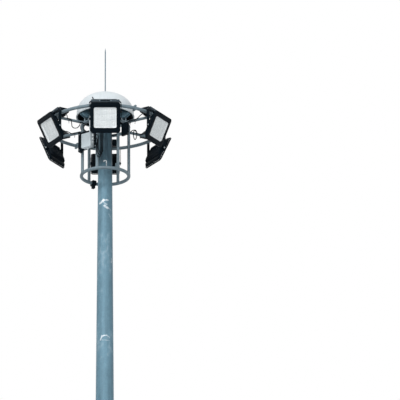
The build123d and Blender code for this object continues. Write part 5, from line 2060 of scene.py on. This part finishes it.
@dataclass
class LampHead:
    """One tilting floodlight: casting, heat sink, glass, lenses, seal and screws."""

    shop: Workshop
    number: int
    azimuth: float
    tilt: float
    face_forward: float = 0.048
    face_up: float = 0.0215
    size: Pair = (0.505, 0.515)
    window: Pair = (0.386, 0.348)
    window_corner: float = 0.032
    window_margin: float = 0.0004
    recess: float = 0.003
    tray_depth: float = 0.026
    tray_skin: Pair = (0.001, 0.0005)
    module_height: float = 0.006
    modules: tuple[int, int] = (4, 3)
    module_pitch: Pair = (0.084, 0.097)
    lenses: tuple[int, int] = (3, 4)
    lens_pitch: Pair = (0.0245, 0.0215)
    lens_size: Pair = (0.0085, 0.0055)
    lens_lift: float = 0.0004
    chip: float = 0.0034
    bead: float = 0.0012
    bead_inset: float = 0.0008
    screw: float = 0.0048
    screw_insets: Pair = (0.027, 0.030)
    screw_sink: float = 0.0002
    side_screws: Pair = (0.86, 0.30)
    end_screw: float = 0.36
    end_screw_out: float = 0.004

    @property
    def body(self) -> str:
        """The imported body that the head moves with."""
        return f"lamp_{self.number}"

    @property
    def frame(self) -> Matrix:
        """The head's own frame at its pivot."""
        return lamp_frame(self.azimuth, self.tilt)

    def casting(self) -> None:
        """Rounded casting, white inside its window, with its fins and glass."""
        node = self.shop.node(f"{self.body}_housing")
        piece = softened(node, f"{self.body}_casting", Finishes.CASTING, 0.003, 3)
        piece.data.materials.append(Finishes.TRAY.material())
        inverse = self.frame.inverted()
        half_width, half_height = (side / 2 + self.window_margin for side in self.window)
        floor = self.face_forward - self.tray_depth - self.tray_skin[0]
        rim = self.face_forward - self.recess - self.tray_skin[1]
        for face in piece.data.polygons:
            spot = inverse @ face.center
            inside = abs(spot.x) < half_width and abs(spot.y - self.face_up) < half_height
            if inside and floor < spot.z < rim:
                face.material_index = 1
        self.shop.place(piece, self.body, Slot.CASTING, f"{self.body}_housing")
        fins = (f"{self.body}_heat_sink", f"{self.body}_fins")
        self.shop.soften(self.body, Slot.CASTING, *fins, Finishes.CASTING, 0.0008, 1)
        self.shop.paint(f"{self.body}_glass", Finishes.GLASS)

    def lens_places(self, axis: int) -> list[float]:
        """Places of the lenses along one axis of the window, by module and then by lens.

        Args:
            axis: Nought for sideways, one for up.

        Returns:
            The places, from the window's middle.
        """
        modules, lenses = self.modules[axis], self.lenses[axis]
        starts = [(i - (modules - 1) / 2) * self.module_pitch[axis] for i in range(modules)]
        steps = [(k - (lenses - 1) / 2) * self.lens_pitch[axis] for k in range(lenses)]
        return [start + step for start in starts for step in steps]

    def lens_points(self) -> bpy.types.Mesh:
        """Points for the lenses, in the head's frame on the modules' faces.

        Returns:
            The points.
        """
        floor = self.face_forward - self.tray_depth + self.module_height + self.lens_lift
        across, up = self.lens_places(0), self.lens_places(1)
        data = bpy.data.meshes.new("lens_points")
        data.from_pydata([Vector((x, y + self.face_up, floor)) for x in across for y in up], [], [])
        return data

    def optics(self) -> None:
        """Rows of lenses with their chips."""
        values = {
            "Lens radius": self.lens_size[0],
            "Lens height": self.lens_size[1],
            "Chip size": self.chip,
            "Lens finish": Finishes.LENS.material(),
            "Chip finish": Finishes.CHIP.material(),
        }
        piece = self.shop.lenses.run(self.lens_points(), f"{self.body}_lenses", values)
        piece.data.transform(self.frame)
        self.shop.place(piece, self.body, Slot.GLASS)

    def seal(self) -> None:
        """Dark bead of sealant round the glass."""
        width, height = (side / 2 - self.bead_inset for side in self.window)
        corner = self.window_corner
        level = self.face_forward - self.recess + self.lens_lift
        path = []
        for sx, sy, start in ((1, 1, 0.0), (-1, 1, 90.0), (-1, -1, 180.0), (1, -1, 270.0)):
            for angle in bend_angles(start, 90.0):
                x = sx * (width - corner) + corner * math.cos(angle)
                y = sy * (height - corner) + corner * math.sin(angle)
                path.append(self.frame @ Vector((x, y + self.face_up, level)))
        seal = Shape().tube(path, self.bead, sides=6, closed=True)
        self.shop.place(seal.piece(f"{self.body}_seal", Finishes.GASKET), self.body, Slot.CASTING)

    def screws(self) -> None:
        """Screws round the front frame, four on each side and two on each end."""
        half_x, half_y = (side / 2 - inset for side, inset in zip(self.size, self.screw_insets))
        places = [(sx * half_x, sy * half_y * share) for sx, sy in CORNERS for share in self.side_screws]
        end = half_y + self.end_screw_out
        places += [(sx * half_x * self.end_screw, sy * end) for sx, sy in CORNERS]
        level = self.face_forward - self.screw_sink
        spots = spots_on(self.frame, [(x, y + self.face_up, level) for x, y in places])
        name, finish = f"{self.body}_screws", Finishes.COATING
        self.shop.fasten(
            name, self.body, Slot.CASTING, spots, self.screw, finish, sides=16, shank=-0.95, washer=1.25
        )

    def build(self) -> None:
        """Make every piece of the head."""
        self.casting()
        self.optics()
        self.seal()
        self.screws()


def seen(bench: Bench) -> Value:
    """One for rays that the eye, a reflection or glass sends, and nought for light.

    Args:
        bench: The bench of a material or world.

    Returns:
        The mask.
    """
    path = bench.add("ShaderNodeLightPath")
    either = bench.pair("MAXIMUM", path.out("Is Camera Ray"), path.out("Is Glossy Ray"))
    return bench.pair("MAXIMUM", either, path.out("Is Transmission Ray"))


@dataclass(frozen=True)
class PaleFloor(Finish):
    """Pale floor near the mast, and the white of the background beyond."""

    far_span: Span = (4.0, 30.0, 0.0, 1.0)

    def material(self) -> bpy.types.Material:
        """The floor's material, which fades to plain white far out.

        Returns:
            The material.
        """
        made = bpy.data.materials.new(self.name)
        bench = Bench.emptied(made)
        where = bench.add("ShaderNodeTexCoord").out("Object")
        radius = bench.add("ShaderNodeVectorMath", {"operation": "LENGTH"}, {0: where}).out("Value")
        far = bench.ramp(radius, *self.far_span) * seen(bench)
        sockets = {"Base Color": (*self.colour, 1.0), "Roughness": self.roughness}
        near = bench.add("ShaderNodeBsdfPrincipled", None, sockets).out()
        white = bench.add("ShaderNodeEmission", None, {"Color": WHITE, "Strength": 1.0}).out()
        mixed = bench.add("ShaderNodeMixShader", None, {0: far, 1: near, 2: white}).out()
        bench.add("ShaderNodeOutputMaterial", None, {"Surface": mixed})
        return made


@dataclass(frozen=True)
class Lamp:
    """A distant soft lamp: where its light comes from, how strong and how wide it is."""

    name: str
    azimuth: float
    elevation: float
    strength: float
    spread: float

    def build(self) -> None:
        """Add the lamp."""
        data = bpy.data.lights.new(self.name, "SUN")
        data.energy = self.strength
        data.angle = math.radians(self.spread)
        rise = math.radians(self.elevation)
        towards = polar(math.cos(rise), self.azimuth, math.sin(rise))
        linked(self.name, data).rotation_euler = towards.to_track_quat("Z", "Y").to_euler()


@dataclass
class Studio:
    """Floor, light and the camera at the photograph's place."""

    distance: float = 44.6
    eye_height: float = 1.6
    focal_pixels: float = 2825.0
    image_pixels: float = 400.0
    sensor: float = 36.0
    clip: Pair = (1.0, 400.0)
    yaw: float = 2.05873868
    pitch: float = 20.81545582
    roll: float = -0.64116866
    floor_radius: float = 60.0
    floor_depth: float = 0.05
    floor_drop: float = 0.002
    ambient: float = 0.31
    ambient_colour: Colour = (0.95, 0.98, 1.0)
    lamps: tuple[Lamp, ...] = (Lamp("key", 245.0, 36.0, 1.6, 20.0), Lamp("fill", 274.0, 4.0, 1.05, 50.0))

    def floor(self) -> None:
        """Plain pale disc that fades to white far out."""
        radius, depth = self.floor_radius, self.floor_depth
        rings = [(0.0, -depth), (radius, -depth), (radius, 0.0), (0.0, 0.0)]
        disc = Shape().lathe(rings, Matrix.Translation((0, 0, -self.floor_drop)), steps=64)
        disc.piece("floor", PaleFloor("pale_floor", rgb("eceeef"), roughness=0.85))

    def world(self) -> None:
        """White to the eye, in reflections and through glass, and a soft even light on the object."""
        made = bpy.data.worlds.new("studio")
        bench = Bench.emptied(made)
        sockets = {"Color": (*self.ambient_colour, 1.0), "Strength": self.ambient}
        soft = bench.add("ShaderNodeBackground", None, sockets).out()
        white = bench.add("ShaderNodeBackground", None, {"Color": WHITE, "Strength": 1.0}).out()
        mixed = bench.add("ShaderNodeMixShader", None, {0: seen(bench), 1: soft, 2: white}).out()
        bench.add("ShaderNodeOutputWorld", None, {"Surface": mixed})
        bpy.context.scene.world = made

    def camera(self) -> None:
        """Camera on the ground before the tower, turned as the photograph's was."""
        data = bpy.data.cameras.new("camera")
        data.sensor_width = self.sensor
        data.lens = self.focal_pixels / self.image_pixels * self.sensor
        data.clip_start, data.clip_end = self.clip
        yaw, pitch, roll = (math.radians(v) for v in (self.yaw, self.pitch, self.roll))
        ahead = Vector((math.sin(yaw) * math.cos(pitch), math.cos(yaw) * math.cos(pitch), math.sin(pitch)))
        level = Vector((math.cos(yaw), -math.sin(yaw), 0.0))
        upward = level.cross(ahead)
        right = level * math.cos(roll) + upward * math.sin(roll)
        made = linked("camera", data)
        made.matrix_world = frame_of(Vector((0.0, -self.distance, self.eye_height)), right, -ahead)
        bpy.context.scene.camera = made

    def build(self) -> None:
        """Set the studio up."""
        bpy.context.scene.view_settings.view_transform = "Standard"
        self.floor()
        self.world()
        for lamp in self.lamps:
            lamp.build()
        self.camera()


def main() -> None:
    """Build the tower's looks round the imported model."""
    logging.basicConfig(level=logging.INFO, format="%(name)s: %(message)s")
    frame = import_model()
    Studio().build()
    shop = Workshop(frame)
    Pole(shop).build()
    Crown(shop).build()
    Carriage(shop).build()
    Boxes(shop).build()
    Cabling(shop).build()
    for number, (azimuth, tilt) in enumerate(zip(LAYOUT.lamp_azimuths, LAYOUT.lamp_tilts), start=1):
        LampHead(shop, number, azimuth, tilt).build()


if __name__ == "__main__":
    main()
